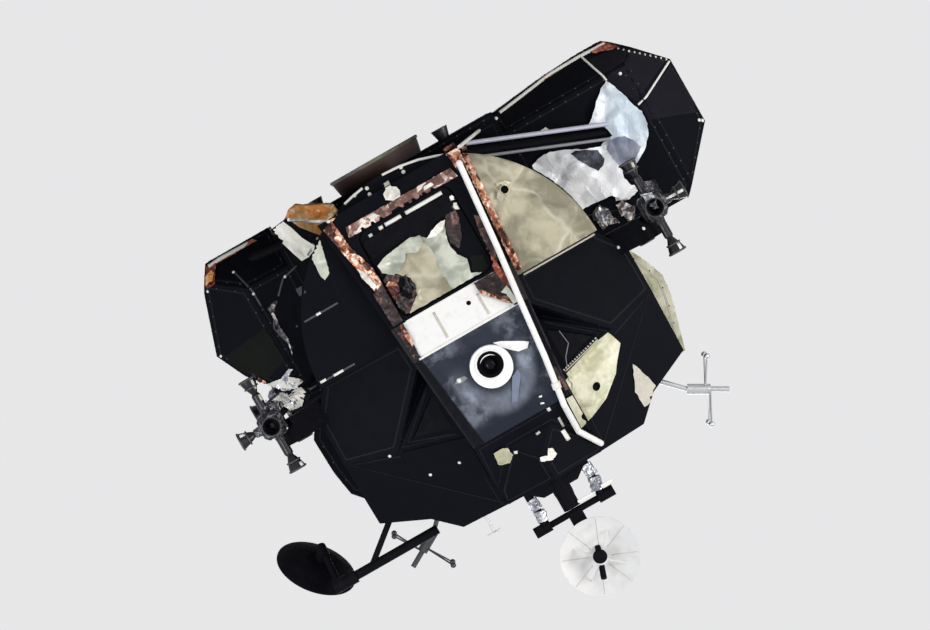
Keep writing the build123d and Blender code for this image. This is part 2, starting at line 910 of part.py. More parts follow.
# Round light in the nose: a white ring round a dark well
nose_normal = plane_of(
    at(0, nose_front, nose_foot_height),
    at(1, nose_front, nose_foot_height),
    at(0, nose_top_front, strip_top_height),
    Vector(0, -1, 0),
).z_dir
nose_lean = (nose_top_front - nose_front) / (strip_top_height - nose_foot_height)
light_front = nose_front + (light_height - nose_foot_height) * nose_lean
light_plane = Plane(origin=at(0, light_front, light_height), x_dir=(1, 0, 0), z_dir=nose_normal)
with BuildPart() as tracking_light:
    with BuildSketch(light_plane):
        Circle(light_outer_radius)
    extrude(amount=light_depth)
    with BuildSketch(light_plane.offset(light_depth)):
        Circle(light_inner_radius)
    extrude(amount=-light_depth + light_lens_thickness, mode=Mode.SUBTRACT)
finish(tracking_light, "tracking_light")

# White tube down the left edge of the strip, on a post at each end
with BuildPart() as handrail:
    bends = [at(x, strip_front(height) - handrail_gap, height) for x, height in handrail_route]
    for start, end in zip(bends, bends[1:]):
        rod(start, end, handrail_radius)
    for bend in bends:
        with Locations(bend):
            Sphere(handrail_radius)
    for bend in (bends[0], bends[-1]):
        rod(bend, bend + Vector(0, handrail_post_length, 0), handrail_post_radius)
    add(cabin_outer, mode=Mode.SUBTRACT)
finish(handrail, "handrail")

def thruster(reach):
    # A chamber and an open bell along +Z, from the centre of its quad outwards
    neck = reach - thruster_bell_length
    with BuildPart() as jet:
        with BuildSketch(Plane.XZ):
            with BuildLine():
                Polyline(
                    (0, 0),
                    (thruster_chamber_radius, 0),
                    (thruster_chamber_radius, neck - thruster_neck_length),
                    (thruster_throat_radius + thruster_wall, neck),
                )
                ThreePointArc(
                    (thruster_throat_radius + thruster_wall, neck),
                    (thruster_mid_radius + thruster_wall, reach - thruster_mid_reach),
                    (thruster_exit_radius, reach),
                )
                Line((thruster_exit_radius, reach), (thruster_exit_radius - thruster_wall, reach))
                ThreePointArc(
                    (thruster_exit_radius - thruster_wall, reach),
                    (thruster_mid_radius, reach - thruster_mid_reach),
                    (thruster_throat_radius, neck),
                )
                Polyline((thruster_throat_radius, neck), (0, neck - thruster_throat_depth), (0, 0))
            make_face()
        revolve(axis=Axis.Z)
    return jet.part


vertical_jet = thruster(thruster_vertical_reach)
level_jet = thruster(thruster_level_reach)
for end_name, along in (("front", -1), ("rear", 1)):
    for side, hand in ((-1, "left"), (1, "right")):
        centre = at(side * quad_offset, along * quad_offset, quad_height)
        with BuildPart() as quad:
            with Locations(centre):
                Box(quad_body, quad_body, quad_body)
            chamfer(quad.edges(), quad_chamfer)
            for direction, jet in (
                ((0, 0, 1), vertical_jet),
                ((0, 0, -1), vertical_jet),
                ((side, 0, 0), level_jet),
                ((0, along, 0), level_jet),
            ):
                with Locations(Plane(origin=centre, z_dir=direction)):
                    add(jet)
        finish(quad, f"quad_{end_name}_{hand}")

        # Outrigger tubes from the quad to the cabin side or the equipment bay
        with BuildPart() as boom:
            for x, y, height in boom_roots[end_name]:
                rod(centre, at(side * x, y, height), boom_radius)
            x, y = boom_block_roots[end_name]
            root = at(side * x, along * y, quad_height + boom_block_rise)
            run = centre + Vector(0, 0, boom_block_rise) - root
            with Locations(Plane(origin=root, x_dir=(0, 0, 1), z_dir=run)):
                Box(
                    boom_block_height,
                    boom_block_width,
                    run.length - boom_block_end,
                    align=(Align.CENTER, Align.CENTER, Align.MIN),
                )
            add(cabin_outer if along < 0 else aft_bay.part, mode=Mode.SUBTRACT)
            add(quad.part, mode=Mode.SUBTRACT)
        finish(boom, f"boom_{end_name}_{hand}")

# Feet that sit on the descent stage, under the base shield
with BuildPart() as interstage_fittings:
    for x in (-foot_offset, foot_offset):
        for y in (-foot_offset, foot_offset):
            with Locations((x, y, 0)):
                Cone(
                    foot_radius,
                    foot_neck_radius,
                    foot_length,
                    align=(Align.CENTER, Align.CENTER, Align.MIN),
                )
                Cylinder(
                    foot_bolt_radius,
                    4 * foot_bolt_depth,
                    align=(Align.CENTER, Align.CENTER, Align.CENTER),
                    mode=Mode.SUBTRACT,
                )
finish(interstage_fittings, "interstage_fittings")

# Under the right side of the cabin: the housing of the lines that were cut, and a loose flap of skin
for name, outline, front, back in (
    ("umbilical_housing", housing_outline, housing_front, housing_back),
    ("skin_flap", flap_outline, flap_front, flap_front + flap_thickness),
):
    with BuildPart() as hanging:
        with BuildSketch(facing(back)):
            Polygon(*[(x, height - shield_radius) for x, height in outline], align=None)
        extrude(amount=back - front)
        add(cabin_outer, mode=Mode.SUBTRACT)
    finish(hanging, name)

# Struts under the front of the bays: bay end as x, y, height; belly end as an angle round the barrel and y
for name, root, (angle, end_y) in (
    ("bay_strut_left", (-1755, -600, -600), (212, -1000)),
    ("bay_strut_right", (1250, -600, -1150), (152, -1000)),
):
    turn = math.radians(angle)
    end = (shield_radius * math.sin(turn), end_y, shield_radius * math.cos(turn))
    with BuildPart() as bay_strut:
        rod(at(*root), at(*end), bay_strut_radius)
        add(cabin_outer, mode=Mode.SUBTRACT)
        with BuildSketch(facing(mid_front)):
            Rectangle(4 * far, 4 * far)
        extrude(amount=-far, mode=Mode.SUBTRACT)
    finish(bay_strut, name)


def dish_shell(radius, depth):
    # Shallow bowl opening along +Z, its back touching the origin
    mid_radius = radius * dish_mid_share
    mid_depth = depth * dish_mid_share**2
    with BuildPart() as bowl:
        with BuildSketch(Plane.XZ):
            with BuildLine():
                outer = ThreePointArc((0, 0), (mid_radius, mid_depth), (radius, depth))
                Line(outer @ 1, (radius, depth + dish_wall))
                inner = ThreePointArc(
                    (radius, depth + dish_wall),
                    (mid_radius, mid_depth + dish_wall),
                    (0, dish_wall),
                )
                Line(inner @ 1, (0, 0))
            make_face()
        revolve(axis=Axis.Z)
    return bowl.part


# Rendezvous radar: legs and bearings, the shaft with its arm, the dish on its pivot
shaft_end = bearing_outer - bearing_cap
with BuildPart() as radar_mount:
    for x in (-leg_half, leg_half):
        rod(at(x, radar_y, shaft_height), at(x, radar_y, leg_foot_height), leg_radius)
    for x1, x2 in ((bearing_inner, bearing_outer), (-bearing_outer, -bearing_inner)):
        rod(at(x1, radar_y, shaft_height), at(x2, radar_y, shaft_height), bearing_radius)
    rod(
        at(-shaft_end, radar_y, shaft_height),
        at(shaft_end, radar_y, shaft_height),
        shaft_radius + running_gap,
        Mode.SUBTRACT,
    )
    rod(at(0, radar_y, shaft_height - shaft_radius - post_gap), at(0, radar_y, leg_foot_height), post_radius)
    # A foot that widens down to the deck carries legs and post
    with BuildSketch(facing(radar_y + radar_foot_depth / 2)):
        Polygon(
            (-radar_foot_half, leg_foot_height),
            (radar_foot_half, leg_foot_height),
            (radar_foot_half, deck_height),
            (radar_foot_top_half, deck_height + radar_foot_rise),
            (-radar_foot_top_half, deck_height + radar_foot_rise),
            (-radar_foot_half, deck_height),
            align=None,
        )
    extrude(amount=radar_foot_depth)
    add(cabin_outer, mode=Mode.SUBTRACT)
finish(radar_mount, "radar_mount")

with BuildPart() as radar_yoke:
    rod(at(-shaft_end, radar_y, shaft_height), at(shaft_end, radar_y, shaft_height), shaft_radius)
    with BuildSketch(level(shaft_height)):
        with Locations((0, radar_y)):
            Rectangle(2 * radar_arm_half, radar_arm_depth)
    extrude(amount=radar_arm_top - shaft_height)
    rod(at(0, radar_y, radar_arm_top), at(0, radar_y, radar_pin_top), pivot_radius)
finish(radar_yoke, "radar_yoke")

radar_vertex = at(0, radar_y - radar_dish_offset, radar_dish_height)
radar_dish_plane = Plane(origin=radar_vertex, x_dir=(1, 0, 0), z_dir=(0, -1, 0))
with BuildPart() as radar_dish:
    with Locations(radar_dish_plane):
        add(dish_shell(radar_dish_radius, radar_dish_depth))
    rod(
        at(0, radar_y, radar_arm_top + pivot_seat),
        at(0, radar_y, radar_pin_top - pivot_seat),
        radar_sleeve_radius,
    )
    rod(at(0, radar_y, radar_dish_height), radar_vertex + Vector(0, -dish_wall / 2, 0), radar_sleeve_radius)
    rod(
        at(0, radar_y, radar_arm_top),
        at(0, radar_y, radar_pin_top),
        pivot_radius + running_gap,
        Mode.SUBTRACT,
    )
    # Horn at the vertex, and over it the subreflector on four thin struts
    focus = radar_vertex + Vector(0, -subreflector_reach, 0)
    rod(radar_vertex + Vector(0, -dish_wall / 2, 0), radar_vertex + Vector(0, -horn_length, 0), horn_radius)
    rod(focus, focus + Vector(0, -subreflector_thickness, 0), subreflector_radius)
    for quarter in range(4):
        turn = math.radians(45 + 90 * quarter)
        foot = Vector(spider_foot * math.cos(turn), -spider_foot_rise, spider_foot * math.sin(turn))
        top = Vector(spider_top * math.cos(turn), -subreflector_thickness / 2, spider_top * math.sin(turn))
        rod(radar_vertex + foot, focus + top, spider_radius)
finish(radar_dish, "radar_dish")

# Steerable antenna
boom_end = at(sband_boom_end, sband_y, sband_height)
with BuildPart() as s_band_boom:
    rod(at(shoulder_half_width, sband_y, sband_height), boom_end, sband_boom_radius)
    rod(
        at(sband_strut_root[0], sband_y, sband_strut_root[1]),
        at(sband_strut_top, sband_y, sband_height),
        sband_strut_radius,
    )
    rod(boom_end, boom_end + Vector(-2 * sband_hub_half, 0, 0), sband_hub_radius)
    add(cabin_outer, mode=Mode.SUBTRACT)
finish(s_band_boom, "s_band_boom")

roll = math.radians(sband_arm_roll)
arm_way = Vector(0, math.cos(roll), math.sin(roll))
yoke_face = boom_end + Vector(hub_gap, 0, 0)
arm_axis = yoke_face + Vector(sband_hub_half, 0, 0)
pivot = arm_axis + arm_way * sband_arm_length
with BuildPart() as s_band_yoke:
    rod(yoke_face, yoke_face + Vector(2 * sband_hub_half, 0, 0), sband_hub_radius)
    rod(arm_axis, pivot - arm_way * sband_sleeve_half, sband_arm_radius)
    rod(arm_axis, pivot + arm_way * sband_sleeve_half, sband_pin_radius)
finish(s_band_yoke, "s_band_yoke")

swing = math.radians(sband_swing)
across = arm_way.cross(Vector(1, 0, 0)).normalized()
aim = Vector(1, 0, 0) * math.cos(swing) - across * math.sin(swing)
sband_vertex = pivot + aim * sband_dish_offset
with BuildPart() as s_band_dish:
    with Locations(Plane(origin=sband_vertex, z_dir=aim)):
        add(dish_shell(sband_dish_radius, sband_dish_depth))
    rod(
        pivot - arm_way * (sband_sleeve_half - pivot_seat),
        pivot + arm_way * (sband_sleeve_half - pivot_seat),
        sband_sleeve_radius,
    )
    rod(pivot, sband_vertex + aim * dish_wall / 2, sband_sleeve_radius)
    rod(
        pivot - arm_way * sband_sleeve_half,
        pivot + arm_way * sband_sleeve_half,
        sband_pin_radius + running_gap,
        Mode.SUBTRACT,
    )
    rod(sband_vertex + aim * dish_wall / 2, sband_vertex + aim * sband_feed_length, horn_radius)
finish(s_band_dish, "s_band_dish")

# Antennas on the shoulders: a stalk, a body, a thin tip and four rods with ball ends
for name, side, y, carrier in (
    ("vhf_antenna_left", -1, vhf_front_y, cabin_outer),
    ("vhf_antenna_right", 1, vhf_rear_y, midsection.part),
):
    root = at(side * vhf_root, y, vhf_root_height)
    if y > 0:
        root = at(side * vhf_rear_root, y, vhf_rear_root_height)
    lift = root - at(side * vhf_root, y, vhf_root_height)
    neck = at(side * vhf_neck, y, vhf_neck_height) + lift
    tip = at(side * vhf_tip, y, vhf_tip_height) + lift
    middle = neck + (tip - neck) * vhf_body_share
    along_body = (tip - neck).normalized()
    cross = along_body.cross(Vector(0, 1, 0)).normalized()
    with BuildPart() as vhf_antenna:
        rod(root - (neck - root) * vhf_root_depth, neck, vhf_neck_radius)
        rod(neck, middle, vhf_body_radius)
        rod(middle, tip, vhf_tip_radius)
        for way in (-1, 1):
            for lean in (-1, 1):
                direction = (cross * way + Vector(0, lean * vhf_rod_lean, 0)).normalized()
                clamp = middle - along_body * vhf_rod_step * (way > 0)
                ball = clamp + direction * vhf_rod_length
                rod(clamp, ball, vhf_rod_radius)
                with Locations(ball):
                    Sphere(vhf_ball_radius)
        add(carrier, mode=Mode.SUBTRACT)
    finish(vhf_antenna, name)

# Docking window in the deck over the right station
with BuildPart() as docking_window:
    with BuildSketch(level(deck_height)):
        with Locations(docking_window_place):
            Rectangle(docking_window_width, docking_window_length)
    extrude(amount=-glass_thickness)
finish(docking_window, "docking_window")

# Docking target: a round plate with a cross standing over it
with BuildPart() as docking_target:
    with BuildSketch(level(deck_height)):
        with Locations(target_place):
            Circle(target_radius)
    extrude(amount=target_plate)
    x, y = target_place
    rod(at(x, y, deck_height), at(x, y, deck_height + target_height), target_bar / 2)
    with BuildSketch(level(deck_height + target_height)):
        with Locations(target_place):
            Rectangle(target_radius, target_bar)
            Rectangle(target_bar, target_radius)
    extrude(amount=target_plate)
finish(docking_target, "docking_target")

# Pale plates over the windows, standing on the side brows
for side, hand in ((-1, "left"), (1, "right")):
    inner, outer, low, foot = socket_corners(side)
    brow_corner = at(side * brow_corner_half, brow_corner_back, deck_height)
    brow_side = plane_of(inner, outer, brow_corner, Vector(0, -1, 0))
    with BuildPart() as brow_plate:
        with BuildSketch(facing(cheek_joint)):
            Polygon(*[(side * x, z) for x, z in brow_plate_outline], align=None)
        extrude(amount=cheek_joint - nose_front)
        split(bisect_by=brow_side.offset(brow_plate_thickness), keep=Keep.BOTTOM)
        split(bisect_by=brow_side, keep=Keep.TOP)
    finish(brow_plate, f"brow_plate_{hand}")
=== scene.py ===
import bpy, bmesh, math, random
from mathutils import Vector, Matrix, noise, geometry
from mathutils.bvhtree import BVHTree


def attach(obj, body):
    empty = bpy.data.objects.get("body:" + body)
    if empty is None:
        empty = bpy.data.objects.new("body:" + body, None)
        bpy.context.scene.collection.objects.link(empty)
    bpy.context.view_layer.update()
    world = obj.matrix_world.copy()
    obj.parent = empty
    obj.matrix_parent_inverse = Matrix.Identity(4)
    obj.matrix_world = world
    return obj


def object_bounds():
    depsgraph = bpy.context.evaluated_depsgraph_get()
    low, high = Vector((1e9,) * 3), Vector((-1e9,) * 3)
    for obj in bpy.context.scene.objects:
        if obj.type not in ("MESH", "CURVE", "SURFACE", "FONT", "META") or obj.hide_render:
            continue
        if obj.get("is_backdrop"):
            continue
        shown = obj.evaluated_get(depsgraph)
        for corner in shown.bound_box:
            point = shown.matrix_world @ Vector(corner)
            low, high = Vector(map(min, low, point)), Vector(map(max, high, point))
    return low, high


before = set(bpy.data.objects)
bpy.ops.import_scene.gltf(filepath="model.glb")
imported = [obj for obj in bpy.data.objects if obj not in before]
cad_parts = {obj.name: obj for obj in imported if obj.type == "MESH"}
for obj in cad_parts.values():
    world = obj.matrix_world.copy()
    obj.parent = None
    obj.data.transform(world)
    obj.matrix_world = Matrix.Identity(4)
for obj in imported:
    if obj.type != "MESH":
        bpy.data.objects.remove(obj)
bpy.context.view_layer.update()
print("stage: frame loaded")

root = "ascent_stage"
axisHeight = 1.3  # the cabin barrel's axis over the feet; heights in the tables below count from it

camera = {
    "distance": 30.2,      # to the plane of the front thrusters
    "plane": -1.679,
    "aim": (-0.02, 1.336),
    "height": -0.07,       # level with the floor, just under its sheet
    "roll": math.radians(150.2),
    "lens": 152.4,
}
studio = {
    "floorLevel": -0.054,
    "floorSize": 9.0,
    "fade": (4.5, 8.0),  # where the floor turns into the paper behind it
    "paper": (0.80, 0.80, 0.81),
    "fill": 0.50,
    "lamps": (  # place, size, power, colour
        ((-9.5, -9.0, 6.5), 5.0, 920, (1.0, 0.97, 0.93)),
        ((8.0, -9.0, 3.0), 7.0, 380, (0.93, 0.96, 1.0)),
        ((-6.5, -13.0, 0.9), 2.4, 110, (1.0, 0.98, 0.95)),
        ((6.5, -13.0, 0.9), 2.4, 260, (0.97, 0.98, 1.0)),
        ((1.0, 9.0, 6.0), 7.0, 560, (1.0, 1.0, 1.0)),
    ),
}


def placeCamera():
    target = Vector((camera["aim"][0], camera["plane"], camera["aim"][1]))
    drop = target.z - camera["height"]
    back = Vector((0, -math.sqrt(camera["distance"] ** 2 - drop ** 2), -drop))
    side = Vector((math.cos(camera["roll"]), 0, math.sin(camera["roll"])))
    back.normalize()
    up = back.cross(side).normalized()
    side = up.cross(back)
    turn = Matrix((side, up, back)).transposed().to_4x4()
    data = bpy.data.cameras.new("camera")
    data.lens = camera["lens"]
    data.sensor_width = 36
    data.clip_end = 200
    eye = bpy.data.objects.new("camera", data)
    bpy.context.scene.collection.objects.link(eye)
    eye.matrix_world = Matrix.Translation(target + back * camera["distance"]) @ turn
    bpy.context.scene.camera = eye


placeCamera()
print("stage: camera placed")


class Wire:
    # one output of a node; maths on it adds the next nodes
    def __init__(self, nodes, socket):
        self.nodes = nodes
        self.socket = socket

    def maths(self, operation, *values):
        return self.nodes.add("ShaderNodeMath", {"operation": operation}, *values)

    def __add__(self, other): return self.maths("ADD", self, other)
    def __sub__(self, other): return self.maths("SUBTRACT", self, other)
    def __rsub__(self, other): return self.maths("SUBTRACT", other, self)
    def __mul__(self, other): return self.maths("MULTIPLY", self, other)
    def __abs__(self): return self.maths("ABSOLUTE", self)

    def step(self, low, high):  # 0 below low, 1 above high, smooth between
        return self.nodes.add("ShaderNodeMapRange", {"interpolation_type": "SMOOTHSTEP"}, self, low, high,
            0.0, 1.0)


class Nodes:
    # a node tree and the one way to add to it
    def __init__(self, tree):
        self.tree = tree

    def fill(self, socket, value):
        if isinstance(value, Wire):
            self.tree.links.new(value.socket, socket)
        elif socket.type == "RGBA":
            socket.default_value = (*value, 1)
        else:
            socket.default_value = value

    def add(self, kind, settings, *values, out=0, **named):
        node = self.tree.nodes.new(kind)
        for key, value in settings.items():
            setattr(node, key, value)
        sockets = [s for s in node.inputs if s.enabled]
        named = [(next(s for s in sockets if s.name == key), value) for key, value in named.items()]
        for socket, value in [*zip(sockets, values), *named]:
            self.fill(socket, value)
        outs = [s for s in node.outputs if s.enabled]
        if outs:
            return Wire(self, outs[out] if isinstance(out, int) else next(s for s in outs if s.name == out))


class Sheet(Nodes):
    # a material and the nodes most finishes share
    def __init__(self, name, **shader):
        self.material = bpy.data.materials.new(name)
        self.material.use_nodes = True
        super().__init__(self.material.node_tree)
        self.shader = self.tree.nodes["Principled BSDF"]
        for key, value in shader.items():
            self.set(key.replace("_", " "), value)
        self.place = self.add("ShaderNodeTexCoord", {}, out="Object")

    def set(self, key, value):
        self.fill(self.shader.inputs[key], value)

    def axis(self, index, place=None):
        return self.add("ShaderNodeSeparateXYZ", {}, place or self.place, out=index)

    def vector(self, operation, *values, out=0):
        return self.add("ShaderNodeVectorMath", {"operation": operation}, *values, out=out)

    def cloud(self, scale, detail=3.0, rough=0.5, place=None):
        return self.add("ShaderNodeTexNoise", {}, Vector=place or self.place, Scale=scale, Detail=detail,
            Roughness=rough)

    def cells(self, scale, place=None, feature="F1", out="Distance"):
        return self.add("ShaderNodeTexVoronoi", {"feature": feature}, Vector=place or self.place,
            Scale=scale, out=out)

    def moved(self, shift, scale):  # the place, bent by a cloud
        bend = self.add("ShaderNodeTexNoise", {}, Vector=self.place, Scale=scale, Detail=2.0, out="Color")
        return self.vector("MULTIPLY_ADD", bend, (shift,) * 3, self.place)

    def stretched(self, x, y, z):
        return self.vector("MULTIPLY", self.place, (x, y, z))

    def blend(self, share, a, b):
        return self.add("ShaderNodeMix", {"data_type": "RGBA"}, share, a, b)

    def bump(self, height, distance):
        self.set("Normal", self.add("ShaderNodeBump", {}, Height=height, Distance=distance, Strength=1.0))


# finish: pale and deep colour, painted as the lit and shaded facets of the crumples, glint colour for
# painted highlights, metallic, roughness, crumples a metre, their depth, contrast, glints
foils = {
    "tanFilm": ((0.49, 0.45, 0.325), (0.23, 0.215, 0.145), (0.72, 0.71, 0.58),
        0.12, 0.40, 3.2, 0.038, 1.1, 0.5),
    "creamFilm": ((0.78, 0.77, 0.60), (0.52, 0.51, 0.34), (0.92, 0.92, 0.82),
        0.05, 0.45, 5.0, 0.016, 1.0, 0.4),
    "paleFilm": ((0.58, 0.60, 0.50), (0.31, 0.34, 0.285), (0.78, 0.80, 0.73),
        0.12, 0.42, 4.2, 0.026, 1.0, 0.5),
    "whiteFilm": ((0.94, 0.93, 0.87), (0.66, 0.64, 0.57), (1.0, 1.0, 0.98),
        0.0, 0.42, 9.0, 0.012, 0.8, 0.4),
    "flapFilm": ((1.0, 0.99, 0.93), (0.84, 0.83, 0.74), (1.0, 1.0, 1.0), 0.0, 0.42, 7.0, 0.012, 0.8, 0.4),
    "frostFilm": ((0.99, 0.99, 1.0), (0.88, 0.91, 0.95), (1.0, 1.0, 1.0), 0.05, 0.36, 3.6, 0.028, 0.9, 0.6),
    "blueFilm": ((0.89, 0.95, 0.99), (0.58, 0.69, 0.80), (1.0, 1.0, 1.0), 0.05, 0.36, 3.6, 0.028, 1.0, 0.5),
    # this film is painted shade on the bay blanket and a painted highlight streak on the dark nose
    "shadeFilm": ((0.34, 0.37, 0.47), (0.17, 0.20, 0.29), (0.60, 0.64, 0.72),
        0.10, 0.42, 4.0, 0.016, 1.3, 0.3),
    "deepFilm": ((0.060, 0.070, 0.100), (0.012, 0.016, 0.026), (0.16, 0.18, 0.23),
        0.15, 0.45, 8.0, 0.012, 1.0, 0.1),
    "silverFoil": ((0.80, 0.82, 0.85), (0.20, 0.21, 0.25), (1.0, 1.0, 1.0),
        0.60, 0.26, 20.0, 0.010, 1.0, 0.5),
    "copperFoil": ((0.60, 0.235, 0.12), (0.050, 0.010, 0.008), (1.0, 0.86, 0.73),
        0.35, 0.30, 15.0, 0.014, 1.5, 0.6),
    "goldFoil": ((1.0, 0.65, 0.26), (0.86, 0.32, 0.06), (1.0, 0.95, 0.80), 0.0, 0.28, 9.0, 0.016, 1.2, 0.9),
    "roseFoil": ((0.46, 0.27, 0.215), (0.11, 0.045, 0.035), (0.96, 0.87, 0.79),
        0.20, 0.34, 14.0, 0.012, 1.0, 0.7),
    "smokeFoil": ((0.30, 0.27, 0.27), (0.04, 0.028, 0.028), (0.95, 0.92, 0.90),
        0.20, 0.32, 16.0, 0.014, 1.0, 0.6),
    "redFoil": ((0.46, 0.10, 0.055), (0.10, 0.012, 0.010), (0.90, 0.50, 0.34),
        0.30, 0.34, 16.0, 0.010, 1.0, 0.25),
    "brownFoil": ((0.070, 0.030, 0.027), (0.008, 0.005, 0.006), (0.42, 0.22, 0.17),
        0.22, 0.36, 14.0, 0.012, 1.0, 0.22),
    "darkFoil": ((0.060, 0.062, 0.076), (0.005, 0.005, 0.009), (0.70, 0.71, 0.76),
        0.45, 0.30, 18.0, 0.012, 1.0, 0.22),
}


def makeFoil(name):
    pale, deep, glint, metallic, roughness, size, depth, contrast, glints = foils[name]
    sheet = Sheet(name, Metallic=metallic)
    if name.endswith("Film"):  # thin plastic: soft swells and a few sharp creases
        bent = sheet.moved(1.1 / size, size * 0.7)
        swell = sheet.cloud(size * 0.55, 4.0, 0.55, bent).step(0.34, 0.68)
        facet = sheet.cells(size, bent, feature="SMOOTH_F1").step(0.1, 0.8)
        fine = sheet.cloud(size * 3.2, 3.0).step(0.3, 0.7)
        fold = sheet.cells(size * 0.8, bent, feature="DISTANCE_TO_EDGE", out="Distance")
        height = facet + fold.step(0.0, 0.25) * 0.6 + fine * 0.10
        tone = swell * 0.55 + facet * 0.30 + fine * 0.15
        bright = (1 - fold.step(0.0, 0.055)) * swell
    else:  # metal foil, crumpled hard
        bent = sheet.moved(2.2 / size, size * 0.5)
        facet = sheet.cells(size, bent, out="Color") * 1.0
        fine = sheet.cells(size * 2.7, bent, out="Color") * 1.0
        age = sheet.cloud(size * 0.30, 3.0).step(0.3, 0.72)
        height = sheet.cells(size, bent) + facet * 0.35 + fine * 0.2
        tone = facet * 0.5 + fine * 0.2 + age * 0.3
        bright = (tone + fine * 0.25).step(0.68, 0.82)
    # tone paints light and shade onto the crumples (age is only a broad cloud in it), and bright paints
    # highlights in the glint colour
    shade = tone.step(0.26, 0.74) * contrast + (0.5 - contrast * 0.5)
    sheet.set("Base Color", sheet.blend(bright * glints, sheet.blend(shade, deep, pale), glint))
    sheet.set("Roughness", fine * 0.18 + (roughness - 0.06))
    sheet.bump(height, depth)
    return sheet.material


paints = {  # finish: colour, worn colour, metallic, roughness, ripple depth, ripple scale
    "blackPanel": ((0.0018, 0.0023, 0.0048), (0.0058, 0.0066, 0.0115), 0.0, 0.60, 0.012, 2.6),
    "blackSoft": ((0.0030, 0.0032, 0.0052), (0.0095, 0.0096, 0.0140), 0.0, 0.66, 0.016, 5.0),
    "blackDull": ((0.0015, 0.0016, 0.0024), (0.005, 0.005, 0.007), 0.0, 0.80, 0.006, 6.0),
    "blackPane": ((0.0085, 0.0085, 0.0135), (0.021, 0.020, 0.029), 0.0, 0.62, 0.008, 3.0),
    "blackSeam": ((0.0105, 0.0115, 0.0165), (0.030, 0.031, 0.040), 0.0, 0.58, 0.004, 18.0),
    "blackGreen": ((0.0055, 0.0065, 0.0055), (0.016, 0.018, 0.014), 0.0, 0.62, 0.010, 3.0),
    "whitePaint": ((0.90, 0.90, 0.89), (0.66, 0.65, 0.63), 0.0, 0.48, 0.004, 7.0),
    "whiteTape": ((0.84, 0.83, 0.79), (0.58, 0.56, 0.52), 0.0, 0.50, 0.0008, 16.0),
    "paleTape": ((0.60, 0.57, 0.49), (0.36, 0.34, 0.30), 0.0, 0.52, 0.0008, 16.0),
    "mistTape": ((0.52, 0.53, 0.64), (0.34, 0.35, 0.45), 0.1, 0.42, 0.0008, 16.0),
    "ashTape": ((0.25, 0.26, 0.29), (0.12, 0.125, 0.14), 0.1, 0.50, 0.0008, 16.0),
    "greyTape": ((0.050, 0.054, 0.066), (0.13, 0.135, 0.15), 0.2, 0.50, 0.0008, 16.0),
    "dishWhite": ((0.76, 0.76, 0.76), (0.52, 0.52, 0.53), 0.0, 0.55, 0.002, 4.0),
    "bellMetal": ((0.034, 0.033, 0.037), (0.010, 0.009, 0.010), 0.85, 0.30, 0.003, 9.0),
    "bareMetal": ((0.60, 0.61, 0.63), (0.34, 0.345, 0.36), 0.85, 0.32, 0.002, 14.0),
    "darkMetal": ((0.065, 0.067, 0.075), (0.16, 0.16, 0.17), 0.6, 0.45, 0.002, 12.0),
    "cabinGrey": ((0.30, 0.32, 0.31), (0.20, 0.21, 0.21), 0.0, 0.60, 0.002, 9.0),
}


def makePaint(name):
    colour, worn, metallic, roughness, depth, size = paints[name]
    sheet = Sheet(name, Metallic=metallic)
    if name.startswith("black"):
        sheet.set("Specular IOR Level", 0.07)
    drift = sheet.cloud(size, 4.0, 0.55)
    grime = sheet.cloud(size * 2.3, 6.0, 0.62).step(0.46, 0.78)
    flecks = sheet.cells(size * 34, feature="F1").step(0.0, 0.11)
    streaks = sheet.cloud(5.0, 4.0, 0.6, sheet.stretched(1.2, 1.2, 0.12)).step(0.5, 0.85)
    wear = grime * 0.45 + streaks * 0.3 + (1 - flecks) * 0.35
    sheet.set("Base Color", sheet.blend(wear, colour, worn))
    sheet.set("Roughness", grime * 0.16 + (roughness - 0.05) + drift * 0.08)
    sheet.bump(drift + grime * 0.12, depth)
    return sheet.material


def makeNozzle():
    sheet = Sheet("darkNozzle", Metallic=0.35)
    x, y, z = (sheet.axis(i) for i in range(3))
    rings = sheet.add("ShaderNodeTexNoise", {}, Vector=sheet.stretched(1.5, 1.5, 26), Scale=1.0, Detail=3.0)
    rim = (0.10 - z).step(0.0, 0.16)
    base = sheet.blend(rings, (0.19, 0.145, 0.145), (0.36, 0.29, 0.29))
    # the right side of the bell is darkened as painted shade; hot is the base with that shade
    rightShade = (x + sheet.cloud(2.6, 3.0) * 0.5).step(-0.02, 0.22)
    share = rim * 0.7
    hot = sheet.blend(rightShade, base, (0.060, 0.020, 0.014))
    sheet.set("Base Color", sheet.blend(share, hot, (0.42, 0.28, 0.25)))
    sheet.set("Roughness", rings * 0.3 + 0.38)
    sheet.bump(rings, 0.004)
    return sheet.material


def makeGlass():
    sheet = Sheet("glass", Metallic=0.0, IOR=1.5, Transmission_Weight=0.12, Specular_IOR_Level=0.06)
    smear = sheet.cloud(9.0, 5.0, 0.6).step(0.4, 0.8)
    sheet.set("Base Color", sheet.blend(smear, (0.0030, 0.0035, 0.0060), (0.010, 0.011, 0.016)))
    sheet.set("Roughness", smear * 0.12 + 0.06)
    return sheet.material


noseLamp = {"x": 0.0, "height": 0.462, "highlightArc": (0.15, 0.24, 0.28, 0.365), "border": (0.335, 0.955, 0.128)}


